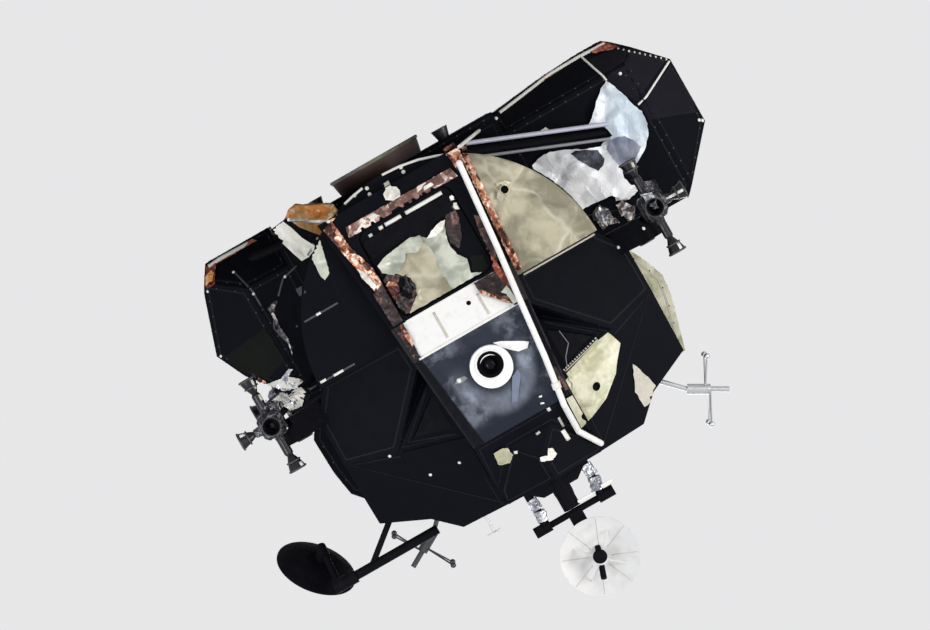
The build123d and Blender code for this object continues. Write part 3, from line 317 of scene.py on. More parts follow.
def makeNoseFilm():
    # dark film, brushed, with a painted highlight arc round the lamp and painted lighter patches below it;
    # higher up it stays dark as painted shade
    sheet = Sheet("noseFilm", Metallic=0.05, Specular_IOR_Level=0.12)
    middle = (noseLamp["x"], 0, axisHeight + noseLamp["height"])
    away = sheet.vector("SUBTRACT", sheet.place, middle)
    far = sheet.vector("LENGTH", sheet.vector("MULTIPLY", away, (1, 0, 0.88)), out="Value")
    rise = sheet.axis(2, away)
    near, full, thin, gone = noseLamp["highlightArc"]
    half, top, spread = noseLamp["border"]
    side, height = (sheet.axis(i, away) for i in (0, 2))
    border = (abs(side) + (height + (noseLamp["height"] - top)) * spread).step(half - 0.012, half + 0.006)
    # arc and the patches paint highlights; low and calm keep the upper part dark as painted shade
    arc = far.step(near, full) * (1 - far.step(thin, gone)) * rise.step(-0.16, 0.10)
    brush = sheet.cloud(3.6, 6.0, 0.65, sheet.stretched(2.6, 1.0, 1.5))
    patch = sheet.cloud(5.5, 4.0, 0.6).step(0.44, 0.66)
    low = 1 - rise.step(0.26, 0.40)
    calm = 1 - rise.step(0.32, 0.42)
    wide = abs(side).step(0.10, 0.26)
    share = (arc * 0.36 + patch * 0.34 * low * calm * wide + (patch * 0.06 + 0.03) * calm
        + 0.004) * (brush * 1.8)
    film = sheet.blend(share, (0.014, 0.018, 0.030), (0.36, 0.40, 0.49))
    sheet.set("Base Color", sheet.blend(border, film, paints["blackPanel"][0]))
    sheet.set("Roughness", brush * 0.3 + 0.25)
    sheet.bump(brush + sheet.cells(9.0, sheet.moved(0.16, 5.0)) * 0.5, 0.010)
    return sheet.material


apronPaint = {"reach": 0.447, "edge": 0.006}


def makeApron():
    # white between the foils of the frame, black past them
    sheet = Sheet("apronPaint", Metallic=0.0)
    side = abs(sheet.axis(0))
    past = side.step(apronPaint["reach"], apronPaint["reach"] + apronPaint["edge"])
    drift = sheet.cloud(7.0, 4.0, 0.55)
    grime = sheet.cloud(16.0, 6.0, 0.62).step(0.46, 0.85)
    white = sheet.blend(grime * 0.45, paints["whitePaint"][0], paints["whitePaint"][1])
    sheet.set("Base Color", sheet.blend(past, white, paints["blackPanel"][0]))
    sheet.set("Roughness", grime * 0.16 + 0.43 + drift * 0.08)
    sheet.bump(drift + grime * 0.12, 0.004)
    return sheet.material


looks = {name: makeFoil(name) for name in foils}
looks.update({name: makePaint(name) for name in paints})
looks["darkNozzle"] = makeNozzle()
looks["glass"] = makeGlass()
looks["noseFilm"] = makeNoseFilm()
looks["apronPaint"] = makeApron()
print("stage: materials made")

# frame nodes not named here get blackPanel; the right-hand lower face and brow plate are left to it, black
# as painted shade
nodeLooks = {
    "tanFilm": ("lower_face_left",),
    "creamFilm": ("brow_plate_left", "upper_bay_left"),
    "apronPaint": ("nose_apron",),
    "whitePaint": ("tracking_light", "handrail", "docking_target"),
    "noseFilm": ("nose_panel",),
    "bareMetal": ("overhead_hatch", "docking_tunnel", "vhf_antenna_left"),
    "bellMetal": ("quad_front_left", "quad_front_right", "quad_rear_left", "quad_rear_right"),
    "darkMetal": ("docking_drogue", "interstage_fittings", "vhf_antenna_right"),
    "dishWhite": ("radar_dish",),
    "cabinGrey": ("cabin_floor",),
    "goldFoil": ("umbilical_housing",),
    "darkNozzle": ("ascent_engine",),
    "glass": ("window_glass_left", "window_glass_right", "docking_window"),
    # skin_flap is black as painted shade; a film covers only its lit part
    "blackSoft": ("aft_shield", "boom_front_left", "boom_front_right", "boom_rear_left", "boom_rear_right",
        "radar_mount", "radar_yoke", "s_band_dish", "s_band_boom", "s_band_yoke", "bay_strut_left",
        "bay_strut_right", "skin_flap"),
}
slotLooks = {  # the record's slots, each with the finishes grouped under it
    "tan_film": ("tanFilm", "creamFilm", "paleFilm"),
    "silver_foil": ("blueFilm", "frostFilm", "shadeFilm", "silverFoil", "darkFoil", "smokeFoil"),
    "copper_foil": ("copperFoil", "goldFoil", "roseFoil", "redFoil", "brownFoil"),
    "white_paint": ("whitePaint", "whiteTape", "whiteFilm", "paleTape", "apronPaint"),
    "black_paint": ("blackPanel", "blackSoft", "blackDull", "blackSeam", "blackGreen", "blackPane",
        "greyTape", "deepFilm"),
    "grey_metal": ("darkMetal", "ashTape", "mistTape", "noseFilm"),
    "bare_metal": ("bareMetal", "bellMetal"),
    "dish_white": ("dishWhite",),
    "dark_nozzle": ("darkNozzle",),
    "glass": ("glass",),
}
lookSlots = {look: slot for slot, group in slotLooks.items() for look in group}
for node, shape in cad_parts.items():
    look = next((look for look, members in nodeLooks.items() if node in members), "blackPanel")
    shape.data.materials.clear()
    shape.data.materials.append(looks[look])
print("stage: frame painted")

moving = {"forward_hatch", "overhead_hatch", "radar_yoke", "radar_dish", "s_band_yoke", "s_band_dish"}
eye = bpy.context.scene.camera.matrix_world.translation.copy()


class Skin:
    # the outside of some frame nodes, which pieces are laid on
    def __init__(self, names):
        spots, faces = [], []
        for name in names:
            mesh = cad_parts[name].data
            start = len(spots)
            spots += [v.co.copy() for v in mesh.vertices]
            faces += [[start + i for i in p.vertices] for p in mesh.polygons]
        self.tree = BVHTree.FromPolygons(spots, faces)

    def hit(self, view, a, b):
        # where a table's two numbers meet the skin, seen by the camera or straight from the back
        if view == "back":
            return self.cast(Vector((a, 6, axisHeight + b)), Vector((0, -1, 0)))
        return self.cast(eye, (Vector((a, camera["plane"], axisHeight + b)) - eye).normalized())

    def cast(self, start, way, reach=60.0):
        spot, normal = self.tree.ray_cast(start, way, reach)[:2]
        if spot is None:
            return None
        return spot, (-normal if normal.dot(way) > 0 else normal)


fixed = [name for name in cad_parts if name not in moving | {"handrail"}]
hull = [name for name in fixed if not name.startswith(("quad", "boom", "bay_strut"))]
skins = {"outside": Skin(fixed), "hull": Skin(hull)}
for name in ("forward_hatch", "radar_dish", "handrail", "skin_flap"):
    skins[name] = Skin([name])


def addPiece(name, look, data, body=root, smooth=True):
    piece = bpy.data.objects.new(name, data)
    bpy.context.scene.collection.objects.link(piece)
    data.materials.append(looks[look])
    for face in getattr(data, "polygons", ()):
        face.use_smooth = smooth
    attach(piece, body)
    look in lookSlots
    return piece


def meshOf(name, spots, faces, weld=False):
    mesh = bpy.data.meshes.new(name)
    mesh.from_pydata([tuple(s) for s in spots], [], [tuple(f) for f in faces])
    work = bmesh.new()
    work.from_mesh(mesh)
    bmesh.ops.delete(work, geom=[v for v in work.verts if not v.link_faces], context="VERTS")
    bmesh.ops.recalc_face_normals(work, faces=work.faces)
    if weld:
        bmesh.ops.remove_doubles(work, verts=work.verts, dist=1e-5)
        bmesh.ops.recalc_face_normals(work, faces=work.faces)
    work.to_mesh(mesh)
    work.free()
    return mesh


def meshFrom(name, work):
    mesh = bpy.data.meshes.new(name)
    work.to_mesh(mesh)
    work.free()
    return mesh


def thicken(piece, depth):
    shell = piece.modifiers.new("thickness", "SOLIDIFY")
    shell.thickness = depth
    shell.offset = 0.0


def mm(*numbers):  # points in metres from pairs of millimetres
    return [(a / 1000, b / 1000) for a, b in zip(numbers[::2], numbers[1::2])]


noise.seed_set(5)  # without it the folds differ from run to run
foldWays = [Vector((1, 0.2, 0.3)), Vector((-0.4, 0.3, 1)), Vector((0.7, 1, -0.6)), Vector((0.5, -0.8, 0.9))]
for way in foldWays:
    way.normalize()
filmThickness = 0.0012
foilThickness = 0.0015
tapeLimits = {"jump": 0.12, "stretch": 4}  # the longest step, and the widest row in tape widths


def crumpled(spot, size, seed=0):
    # sharp folds between flat facets, 0 to 1
    place = spot / size
    place = place + noise.noise_vector(place * 0.55 + Vector((seed, 3.1, seed * 0.7))) * 0.9
    total = 0
    for i, way in enumerate(foldWays):
        wave = place.dot(way) * (0.55 + 0.4 * i) + seed * 0.37 + i * 0.23
        total += abs(wave % 1 - 0.5) * 2 / (1 + 0.7 * i)
    return total / 2.3


def inside(outline, x, y):
    odd = False
    for (ax, ay), (bx, by) in zip(outline, outline[1:] + outline[:1]):
        if (ay > y) != (by > y) and x < ax + (y - ay) / (by - ay) * (bx - ax):
            odd = not odd
    return odd


def fillOutline(outline, step, rag):
    # a net of triangles inside an outline
    outline = [tuple(spot) for spot in outline]
    edge = []
    for a, b in zip(outline, outline[1:] + outline[:1]):
        count = max(1, round(math.dist(a, b) / step))
        edge += [Vector(a).lerp(Vector(b), i / count) for i in range(count)]
    edge = [spot + Vector((random.uniform(-rag, rag), random.uniform(-rag, rag))) * step for spot in edge]
    low = [min(spot[i] for spot in edge) for i in (0, 1)]
    high = [max(spot[i] for spot in edge) for i in (0, 1)]
    inner = []
    for row in range(1, int((high[1] - low[1]) / step) + 1):
        for column in range(int((high[0] - low[0]) / step) + 2):
            x = low[0] + step * (column + 0.5 * (row % 2) + random.uniform(-0.15, 0.15))
            y = low[1] + step * (row - 0.5 + random.uniform(-0.15, 0.15))
            spot = Vector((x, y))
            if inside(edge, x, y) and min((spot - s).length for s in edge) > step * 0.6:
                inner.append(spot)
    ring = [(i, (i + 1) % len(edge)) for i in range(len(edge))]
    spots, _, faces = geometry.delaunay_2d_cdt(edge + inner, ring, [], 1, 1e-6)[:3]
    return spots, faces


foilBasis = {"depth": 0.012, "size": 0.12, "step": 0.03, "lift": 0.004, "seed": 0, "rag": 0.15,
    "tear": 0.2, "view": "photo", "on": "outside", "body": root}


def layFoil(name, foil):
    # a crumpled sheet over what its view shows inside an outline
    foil = {**foilBasis, **foil}
    random.seed(len(name) * 7 + foil["seed"])
    spots, faces = fillOutline(foil["outline"], foil["step"], foil["rag"])
    points = []
    for spot in spots:
        found = skins[foil["on"]].hit(foil["view"], *spot)
        rise = found and foil["lift"] + foil["depth"] * crumpled(found[0], foil["size"], foil["seed"])
        points.append(found and found[0] + found[1] * rise)
    kept = []
    for face in faces:
        corners = [points[i] for i in face]
        if all(corners) and max((corners[i] - corners[i - 1]).length for i in range(3)) < foil["tear"]:
            kept.append(face)
    mesh = meshOf(name, [p or Vector() for p in points], kept)
    thicken(addPiece(name, foil["look"], mesh, foil["body"], False), foilThickness)


def layFoils(foils, **common):
    # rows: look; depth, fold size, net step and lift in millimetres; seed; outline; what else is set
    for name, (look, depth, size, step, lift, seed, outline, *more) in foils.items():
        foil = {"look": look, "depth": depth / 1000, "size": size / 1000, "step": step / 1000}
        foil |= {"lift": lift / 1000, "seed": seed, "outline": outline}
        layFoil(name, {**foil, **common, **(more[0] if more else {})})


def filmOver(name, film):
    # a thin creased film over the faces of a frame node that look one way
    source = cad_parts[film["on"]].data
    way = Vector(film.get("way", (0, -1, 0)))
    work = bmesh.new()
    work.from_mesh(source)
    bmesh.ops.remove_doubles(work, verts=work.verts, dist=1e-5)
    bmesh.ops.delete(work, geom=[f for f in work.faces if f.normal.dot(way) < film.get("turn", 0.5)],
        context="FACES")
    for _ in range(8):
        long = [e for e in work.edges if e.calc_length() > film["step"]]
        if not long:
            break
        bmesh.ops.subdivide_edges(work, edges=long, cuts=1)
        bmesh.ops.triangulate(work, faces=work.faces)
        bmesh.ops.beautify_fill(work, faces=work.faces, edges=work.edges)
    work.normal_update()
    edge = {v for e in work.edges if e.is_boundary for v in e.verts}
    for v in work.verts:
        rise = film["depth"] * crumpled(v.co, film["size"], film.get("seed", 0))
        v.co += v.normal * (film["lift"] + (rise * 0.25 if v in edge else rise))
    thicken(addPiece(name, film["look"], meshFrom(name, work), smooth=False), filmThickness)


def alongRun(run, step):
    # points at even steps along a run of straight parts, with the way it goes
    found = []
    for a, b in zip(run, run[1:]):
        a, b = Vector(a), Vector(b)
        count = max(1, round((b - a).length / step))
        found += [(a.lerp(b, i / count), (b - a).normalized()) for i in range(count)]
    return found + [(Vector(run[-1]), (Vector(run[-1]) - Vector(run[-2])).normalized())]


def layTape(name, tape):
    # flat strips of tape along runs
    skin = skins[tape.get("on", "outside")]
    half, lift = tape["width"] / 2, tape.get("lift", 0.002)
    spots, faces = [], []
    for run in tape["runs"]:
        last = None
        for spot, way in alongRun(run, tape.get("step", 0.025)):
            side = Vector((-way.y, way.x)) * half
            across = [skin.hit(tape.get("view", "photo"), *(spot + side * s)) for s in (-1, -0.4, 0.4, 1)]
            if any(f is None for f in across):
                last = None
                continue
            row = [f[0] + f[1] * (lift * (0.35 if i in (0, 3) else 1)) for i, f in enumerate(across)]
            near = last and max((a - b).length for a, b in zip(last, row)) < tapeLimits["jump"]
            if near and (row[0] - row[3]).length < tape["width"] * tapeLimits["stretch"]:
                start = len(spots)
                spots += last + row
                faces += [(start + i, start + i + 1, start + i + 5, start + i + 4) for i in range(3)]
            last = row
    thicken(addPiece(name, tape["look"], meshOf(name, spots, faces, weld=True), tape.get("body", root)),
        filmThickness)


def around(count, radius, height, start=0.0):
    # points in a circle round the vertical axis, with their angles
    angles = [math.tau * (i + start) / count for i in range(count)]
    return [((radius * math.cos(a), radius * math.sin(a), height), a) for a in angles]


def ringFaces(start, rows, sides):
    # the faces between rings of points that follow each other
    faces = []
    for low in range(start, start + (rows - 1) * sides, sides):
        for i in range(sides):
            j = (i + 1) % sides
            faces.append((low + i, low + j, low + j + sides, low + i + sides))
    return faces


def spin(spots, faces, profile, centre, axis, sides):
    # a turned form: profile in radius and height along its axis
    turn = Vector(axis).to_track_quat("Z", "Y").to_matrix()
    faces += ringFaces(len(spots), len(profile), sides)
    for radius, height in profile:
        spots += [Vector(centre) + turn @ Vector(spot) for spot, _ in around(sides, radius, height)]


def turned(name, look, profile, places, body=root, sides=32, smooth=True):
    spots, faces = [], []
    for centre, axis in places:
        spin(spots, faces, profile, centre, axis, sides)
    addPiece(name, look, meshOf(name, spots, faces, weld=True), body, smooth)


def dome(radius, height):
    return ((radius, -0.001), (radius, height * 0.45), (radius * 0.72, height * 0.86), (0.0005, height))


def layStuds(name, studs):
    # domed fasteners along runs
    skin, view = skins["outside"], studs.get("view", "photo")
    places = [skin.hit(view, *Vector(spot)) for spot in studs.get("spots", ())]
    for run in studs.get("runs", ()):
        places += [skin.hit(view, *spot) for spot, _ in alongRun(run, studs["pitch"])]
    shape = dome(studs["radius"], studs.get("height", studs["radius"] * 0.6))
    turned(name, studs["look"], shape, [p for p in places if p], sides=10)


def sleeve(name, wrap):
    # a crumpled wrap round straight or bent runs
    spots, faces = [], []
    sides = wrap["sides"]
    for run in wrap["runs"]:
        line = alongRun(run, wrap["step"])
        start = len(spots)
        for spot, way in line:
            turn = way.to_track_quat("Z", "Y").to_matrix()
            for rim, _ in around(sides, 1, 0):
                out = turn @ Vector(rim)
                base = spot + out * wrap["radius"]
                spots.append(base + out * wrap["depth"] * crumpled(base, wrap["size"], wrap["seed"]))
        faces += ringFaces(start, len(line), sides)
        for end in (start, start + (len(line) - 1) * sides):
            faces.append(tuple(end + i for i in range(sides)))
    addPiece(name, wrap["look"], meshOf(name, spots, faces), smooth=False)


def blanket(name, wrap):
    # a crumpled skin round a frame node, out to a reach from its centre
    skin = Skin([wrap["on"]])
    centre = Vector(wrap["centre"])
    work = bmesh.new()
    bmesh.ops.create_cube(work, size=2.0)
    bmesh.ops.subdivide_edges(work, edges=work.edges, cuts=22, use_grid_fill=True)
    for v in work.verts:
        way = v.co.normalized()
        found = skin.cast(centre, way, wrap["reach"])
        far = (found[0] - centre).length if found else wrap["reach"]
        place = centre + way * far
        v.co = place + way * (wrap["lift"] + wrap["depth"] * crumpled(place, wrap["size"], wrap["seed"]))
    addPiece(name, wrap["look"], meshFrom(name, work), smooth=False)


def addTubes(name, look, runs, radius, body=root, smooth=False):
    # bent tubes with round ends
    curve = bpy.data.curves.new(name, "CURVE")
    curve.dimensions = "3D"
    curve.bevel_depth = radius
    curve.bevel_resolution = 4
    curve.use_fill_caps = True
    for run in runs:
        spline = curve.splines.new("NURBS" if smooth else "POLY")
        spline.points.add(len(run) - 1)
        for point, spot in zip(spline.points, run):
            point.co = (*spot, 1)
        if smooth:
            spline.order_u = 3
            spline.use_endpoint_u = True
    addPiece(name, look, curve, body)


def layRods(name, rods):
    # thin rods from point to point over what their view shows
    skin = skins[rods.get("on", "outside")]
    runs = []
    for run in rods["runs"]:
        found = [skin.hit("photo", *spot) for spot in run]
        runs.append([f[0] + f[1] * rods["radius"] * rods.get("rise", 0.4) for f in found if f])
    addTubes(name, rods["look"], [run for run in runs if len(run) > 1], rods["radius"])


def addBoxes(name, look, boxes, edge):
    # boxes with rounded edges: middle, size, and a turn about the vertical
    work = bmesh.new()
    for middle, size, turn in boxes:
        about = Matrix.Rotation(math.radians(turn), 4, "Z")
        place = Matrix.Translation(middle) @ about @ Matrix.Diagonal((*size, 1))
        bmesh.ops.create_cube(work, size=1.0, matrix=place)
    bmesh.ops.bevel(work, geom=list(work.edges), offset=edge, segments=3, affect="EDGES", profile=0.6)
    addPiece(name, look, meshFrom(name, work))


print("stage: tools ready")

# The face: tan film at the viewer's left, creased softly.
faceFilm = {"on": "lower_face_left", "look": "tanFilm", "step": 0.026, "lift": 0.001, "depth": 0.018,
    "size": 0.36, "seed": 2}
browFilm = {"look": "creamFilm", "step": 0.026, "lift": 0.003, "depth": 0.008, "size": 0.40, "rag": 0.0,
    "tear": 0.08, "outline": mm(-940, 800, -905, 700, -800, 715, -470, 815, -436, 825, -436, 1205,
    -470, 1200, -640, 1130, -800, 1000)}
browEdge = {**browFilm, "outline": mm(-430, 975, -375, 975, -365, 1230, -430, 1210), "step": 0.018}
filmOver("face_film", faceFilm)
layFoil("brow_film", browFilm)
layFoil("brow_film_edge", browEdge)
faceTapes = {
    "copper_edge": ("copperFoil", 14, 70, 18, 20, 0, mm(-580, -60, -525, -60, -600, -1120, -660, -1120)),
    "brown_corner": ("copperFoil", 14, 80, 20, 26, 0, mm(-610, -980, -520, -960, -500, -1150, -600, -1160)),
    "apron_brown_left": ("brownFoil", 16, 90, 20, 4, 3, mm(-390, 165, -355, 110, -205, -60, -200, -140,
        -505, -140, -480, 160)),
    "apron_cream": ("paleFilm", 10, 80, 16, 20, 0, mm(-425, 150, -385, 155, -375, 60, -345, 30, -410, 0)),
    "apron_copper": ("copperFoil", 6, 60, 14, 20, 0, mm(-375, 130, -355, 130, -200, -50, -215, -75)),
    "apron_red": ("redFoil", 12, 80, 18, 20, 0, mm(-440, -20, -400, -10, -385, -140, -395, -320,
        -425, -330)),
    "apron_brown_right": ("brownFoil", 14, 80, 18, 4, 8, mm(435, 155, 485, 155, 505, -140, 435, -140)),
    "apron_copper_right": ("copperFoil", 12, 50, 14, 12, 5, mm(425, 30, 450, 50, 465, -60, 455, -140,
        425, -140)),
    "roof_tan": ("paleTape", 8, 120, 30, 4, 0, mm(-1030, 1260, -960, 1320, -860, 1330, -860, 1200,
        -900, 1100, -950, 1000, -1000, 1150)),
}
layFoils(faceTapes)
faceSeam = {"look": "paleTape", "width": 0.016, "lift": 0.005, "runs": (mm(-1190, -10, -560, -10),)}
layTape("face_top_tape", faceSeam)
faceVent = skins["outside"].hit("photo", -0.76, -0.65)
turned("face_vent", "tanFilm", mm(30, 12, 30, 21, 36, 24, 44, 20, 50, 8), [faceVent])
turned("face_vent_well", "blackDull", mm(33, 21, 20, 19, 0.5, 19), [faceVent])
faceFlaps = {
    "vent_flap": ("tanFilm", 20, 50, 12, 22, 0, mm(-740, -600, -690, -575, -680, -620, -710, -680,
        -730, -660)),
    "vent_flap_low": ("creamFilm", 16, 50, 12, 20, 0, mm(-830, -670, -790, -665, -755, -700, -720, -700,
        -730, -725, -800, -705)),
}
layFoils(faceFlaps)
print("stage: face covered")

# The hatch and its frame: lit film on the leaf, painted shadow low on the leaf and at its left, copper
# round it with painted highlights.
hatchFoils = {
    "hatch_film_pale": ("paleFilm", 22, 150, 22, 2, 0, mm(-300, -185, -30, -185, -20, -350, -45, -500,
        -20, -665, -60, -620, -120, -645, -250, -680, -200, -580, -180, -480, -200, -400, -250, -330,
        -220, -220)),
    "hatch_film_tan": ("tanFilm", 22, 160, 22, 2, 2, mm(-35, -185, 340, -185, 330, -240, 240, -270,
        200, -330, 200, -420, 280, -500, 360, -550, 375, -620, 300, -655, 200, -670, 50, -690, -25, -665,
        -50, -500, -25, -350)),
    "hatch_film_low": ("whiteFilm", 20, 90, 14, 18, 0, mm(-250, -675, -200, -620, -130, -600, -55, -620,
        -120, -655, -200, -680)),
    "hatch_film_edge": ("paleFilm", 30, 100, 16, 16, 3, mm(-20, -600, 60, -565, 140, -600, 200, -520,
        300, -500, 372, -560, 375, -625, 300, -655, 200, -670, 50, -690, -20, -660)),
    "hatch_brown_right": ("brownFoil", 30, 80, 18, 2, 0, mm(340, -190, 400, -210, 405, -500, 340, -530,
        260, -480, 205, -410, 210, -320, 250, -260)),
    "hatch_copper_right": ("copperFoil", 30, 50, 14, 14, 4, mm(330, -350, 400, -330, 405, -460, 360, -480,
        300, -440)),
    "hatch_dark_right": ("blackSoft", 20, 50, 14, 12, 8, mm(225, -275, 290, -280, 325, -330, 315, -420,
        270, -465, 215, -420, 212, -330)),
    # this patch and the next are painted shade and shadow on the left of the leaf
    "hatch_brown_left": ("brownFoil", 18, 100, 18, 2, 6, mm(-300, -500, -235, -430, -195, -500, -215, -600,
        -260, -690, -360, -745, -350, -640)),
    "hatch_green_left": ("blackGreen", 10, 120, 30, 2, 0, mm(-360, -200, -270, -190, -240, -240,
        -280, -340, -370, -300)),
    # a black band painted as the shadow under the sill
    "hatch_black_low": ("blackSoft", 26, 120, 30, 2, 3, mm(-360, -700, -220, -700, -60, -630, 50, -700,
        380, -690, 400, -840, 0, -845, -360, -840)),
    "hatch_lump_high": ("whiteFilm", 16, 40, 12, 2, 0, mm(-400, -690, -360, -700, -350, -730, -370, -755,
        -400, -745)),
    "hatch_lump_low": ("whiteFilm", 16, 40, 12, 2, 4, mm(-400, -770, -360, -780, -360, -810, -390, -815)),
}
layFoils(hatchFoils, on="forward_hatch", body="forward_hatch")
hatchBars = {"look": "whiteTape", "width": 0.032, "lift": 0.006, "on": "forward_hatch",
    "body": "forward_hatch", "runs": (mm(-330, -868, -10, -868), mm(30, -868, 170, -868), mm(190, -865,
    225, -865), mm(290, -850, 320, -850))}
layTape("hatch_bars", hatchBars)
spot = skins["forward_hatch"].hit("photo", 0.24, -0.36)
turned("hatch_valve", "bellMetal", mm(46, 0, 46, 20, 36, 26, 30, 20, 12, 20, 10, 34, 0.5, 36), [spot],
    "forward_hatch")
handle = [spot[0] + Vector(s) for s in ((0.0, -0.022, 0.0), (0.0, -0.030, -0.05), (-0.015, -0.026, -0.10))]
addTubes("hatch_handle", "bellMetal", [handle], 0.008, "forward_hatch")
frameFoils = {
    "frame_copper_right": ("copperFoil", 30, 70, 18, 4, 0, mm(414, -480, 490, -460, 515, -620, 560, -850,
        600, -1070, 510, -1100, 485, -850, 430, -680, 414, -620)),
    "frame_brown_right": ("brownFoil", 26, 80, 20, 4, 7, mm(414, -165, 500, -155, 515, -450, 414, -490)),
    # a pale patch painted as a highlight on the copper
    "frame_pink_right": ("whiteFilm", 20, 50, 14, 24, 0, mm(455, -490, 490, -480, 525, -600, 520, -680,
        490, -640)),
    "frame_copper_sill": ("roseFoil", 24, 90, 18, 4, 2, mm(-500, -918, 460, -918, 440, -1000, -480, -1000)),
    # this patch and the next are painted highlights on the sill
    "frame_sill_left": ("whiteFilm", 12, 50, 14, 18, 0, mm(-310, -950, -220, -948, -230, -975, -300, -978)),
    "frame_sill_right": ("whiteFilm", 12, 50, 14, 18, 2, mm(170, -950, 245, -948, 250, -985, 200, -990)),
    "frame_brown_left": ("brownFoil", 18, 100, 22, 4, 5, mm(-500, -200, -425, -200, -430, -460, -460, -600,
        -510, -560)),
}
layFoils(frameFoils)
chinFoils = {
    "chin_blob": ("whiteFilm", 40, 50, 12, 4, 0, mm(-60, -1040, -40, -1000, 20, -1000, 70, -1030,
        65, -1080, 30, -1100, 20, -1150, -20, -1150, -20, -1100, -50, -1080)),
    "gold_bar": ("goldFoil", 20, 70, 18, 4, 0, mm(440, -1120, 500, -1090, 800, -1300, 740, -1335)),
    "silver_leaf": ("paleFilm", 14, 100, 20, 4, 0, mm(720, -760, 780, -730, 795, -780, 785, -900,
        800, -970, 730, -1010, 670, -1080, 645, -1100, 655, -1040, 685, -900)),
    "orange_corner": ("redFoil", 18, 70, 16, 4, 0, mm(1420, -1262, 1470, -1200, 1520, -1120, 1590, -1120,
        1585, -1200, 1530, -1270)),
    "copper_edge_right": ("redFoil", 10, 60, 16, 4, 4, mm(1080, -1245, 1460, -1245, 1500, -1275,
        1100, -1275)),
    # an orange-cream patch painted as a highlight on the foil
    "gold_corner": ("goldFoil", 16, 50, 12, 16, 0, mm(1485, -1190, 1530, -1135, 1580, -1150, 1560, -1190,
        1500, -1215)),
    "grey_film": ("smokeFoil", 14, 60, 10, 4, 0, mm(1275, -360, 1285, -360, 1260, -460, 1285, -560,
        1265, -660, 1270, -760, 1180, -785, 1170, -770, 1240, -720, 1255, -580, 1245, -480)),
    "green_face": ("blackGreen", 6, 400, 40, 2, 0, mm(1340, -340, 1580, -280, 1720, -450, 1780, -600,
        1360, -640)),
}
layFoils(chinFoils)
chinDots = {"look": "whiteTape", "radius": 0.016, "spots": mm(-155, -1150, -155, -1190, 155, -1130,
    150, -1180, 260, -1180)}
layStuds("chin_dots", chinDots)
chinEdge = {"look": "whiteTape", "radius": 0.010, "runs": (mm(-520, -1095, -440, -1130, -300, -1175,
    -150, -1203, 0, -1212), mm(180, -1198, 270, -1182, 360, -1160))}
layRods("chin_edge", chinEdge)
goldLine = {"look": "whiteFilm", "radius": 0.013, "rise": 2.2, "runs": (mm(530, -1105, 660, -1185,
    790, -1270),)}
layRods("gold_line", goldLine)
# film over the lit part of the flap only; the rest of the flap stays black as painted shade
flapFilm = {"on": "skin_flap", "look": "flapFilm", "step": 0.014, "lift": 0.005, "depth": 0.014,
    "size": 0.12, "rag": 0.0, "outline": mm(715, -995, 745, -965, 800, -945, 860, -945, 885, -1020,
    925, -1150, 950, -1270, 840, -1295, 800, -1200, 770, -1100)}
layFoil("flap_film", flapFilm)
housingFilm = {"on": "umbilical_housing", "look": "goldFoil", "step": 0.018, "lift": 0.001, "depth": 0.022,
    "size": 0.08, "turn": 0.1, "way": (0, -0.8, -0.6)}
filmOver("housing_film", housingFilm)
print("stage: hatch and chin covered")

# The nose: a dark well in the lamp, its tab, and film round it.
lensAt = skins["outside"].hit("photo", noseLamp["x"], noseLamp["height"])[0]
lampWell = {"outer": 0.0885, "inner": 0.050, "depth": 0.050}
turned("lamp_well", "blackDull", ((lampWell["outer"], lampWell["depth"]), (lampWell["outer"] - 0.004,
    lampWell["depth"] - 0.004), (lampWell["outer"] * 0.86, 0.012), (lampWell["inner"], 0.004),
    (0.0005, 0.004)), [(lensAt, (0, -1, 0))], sides=48)
turned("lamp_lens", "glass", mm(52, 6, 45, 16, 25, 24, 0.5, 27), [(lensAt, (0, -1, 0))], sides=32)
ringSpots = []
for side, rise in mm(-125, 0, 125, 0, 0, -125, 0, 125):
    ringSpots.append(skins["outside"].hit("photo", noseLamp["x"] + side, noseLamp["height"] + rise)[0])
ringAt = sum(ringSpots, Vector()) / 4
ringWay = (ringSpots[1] - ringSpots[0]).cross(ringSpots[3] - ringSpots[2]).normalized()
turned("lamp_throat", "blackDull", mm(78, 2, 106, 3, 106, -1), [(ringAt, ringWay)], sides=48)
turned("lamp_lip", "whitePaint", mm(103, 0, 103, 6, 110, 10, 118, 6, 118, 0), [(ringAt, ringWay)], sides=48)
noseFoils = {
    "nose_tab": ("whitePaint", 6, 100, 14, 14, 0, mm(-345, 455, -310, 492, -240, 482, -190, 440, -140, 385,
        -100, 325, -160, 345, -310, 430), {"rag": 0.0}),
    # a lighter streak painted on the dark nose as a highlight
    "nose_streak": ("shadeFilm", 3, 100, 12, 13, 0, mm(-165, 595, -100, 625, -35, 735, 0, 800, -45, 812,
        -105, 725, -165, 645), {"rag": 0.0}),
    "nose_clip": ("ashTape", 4, 100, 14, 14, 0, mm(200, 465, 265, 475, 310, 455, 270, 430, 215, 440),
        {"rag": 0.1}),
}
layFoils(noseFoils)
filmOver("nose_film", {"on": "nose_panel", "look": "noseFilm", "step": 0.03, "lift": 0.001, "depth": 0.012,
    "size": 0.26, "turn": 0.4})
layStuds("nose_stud", {"look": "whitePaint", "radius": 0.020, "height": 0.026, "spots": mm(270, 450)})
layRods("rail_collar", {"look": "whiteFilm", "on": "handrail", "radius": 0.036, "rise": -0.55,
    "runs": (mm(-358, 885, -366, 835),)})
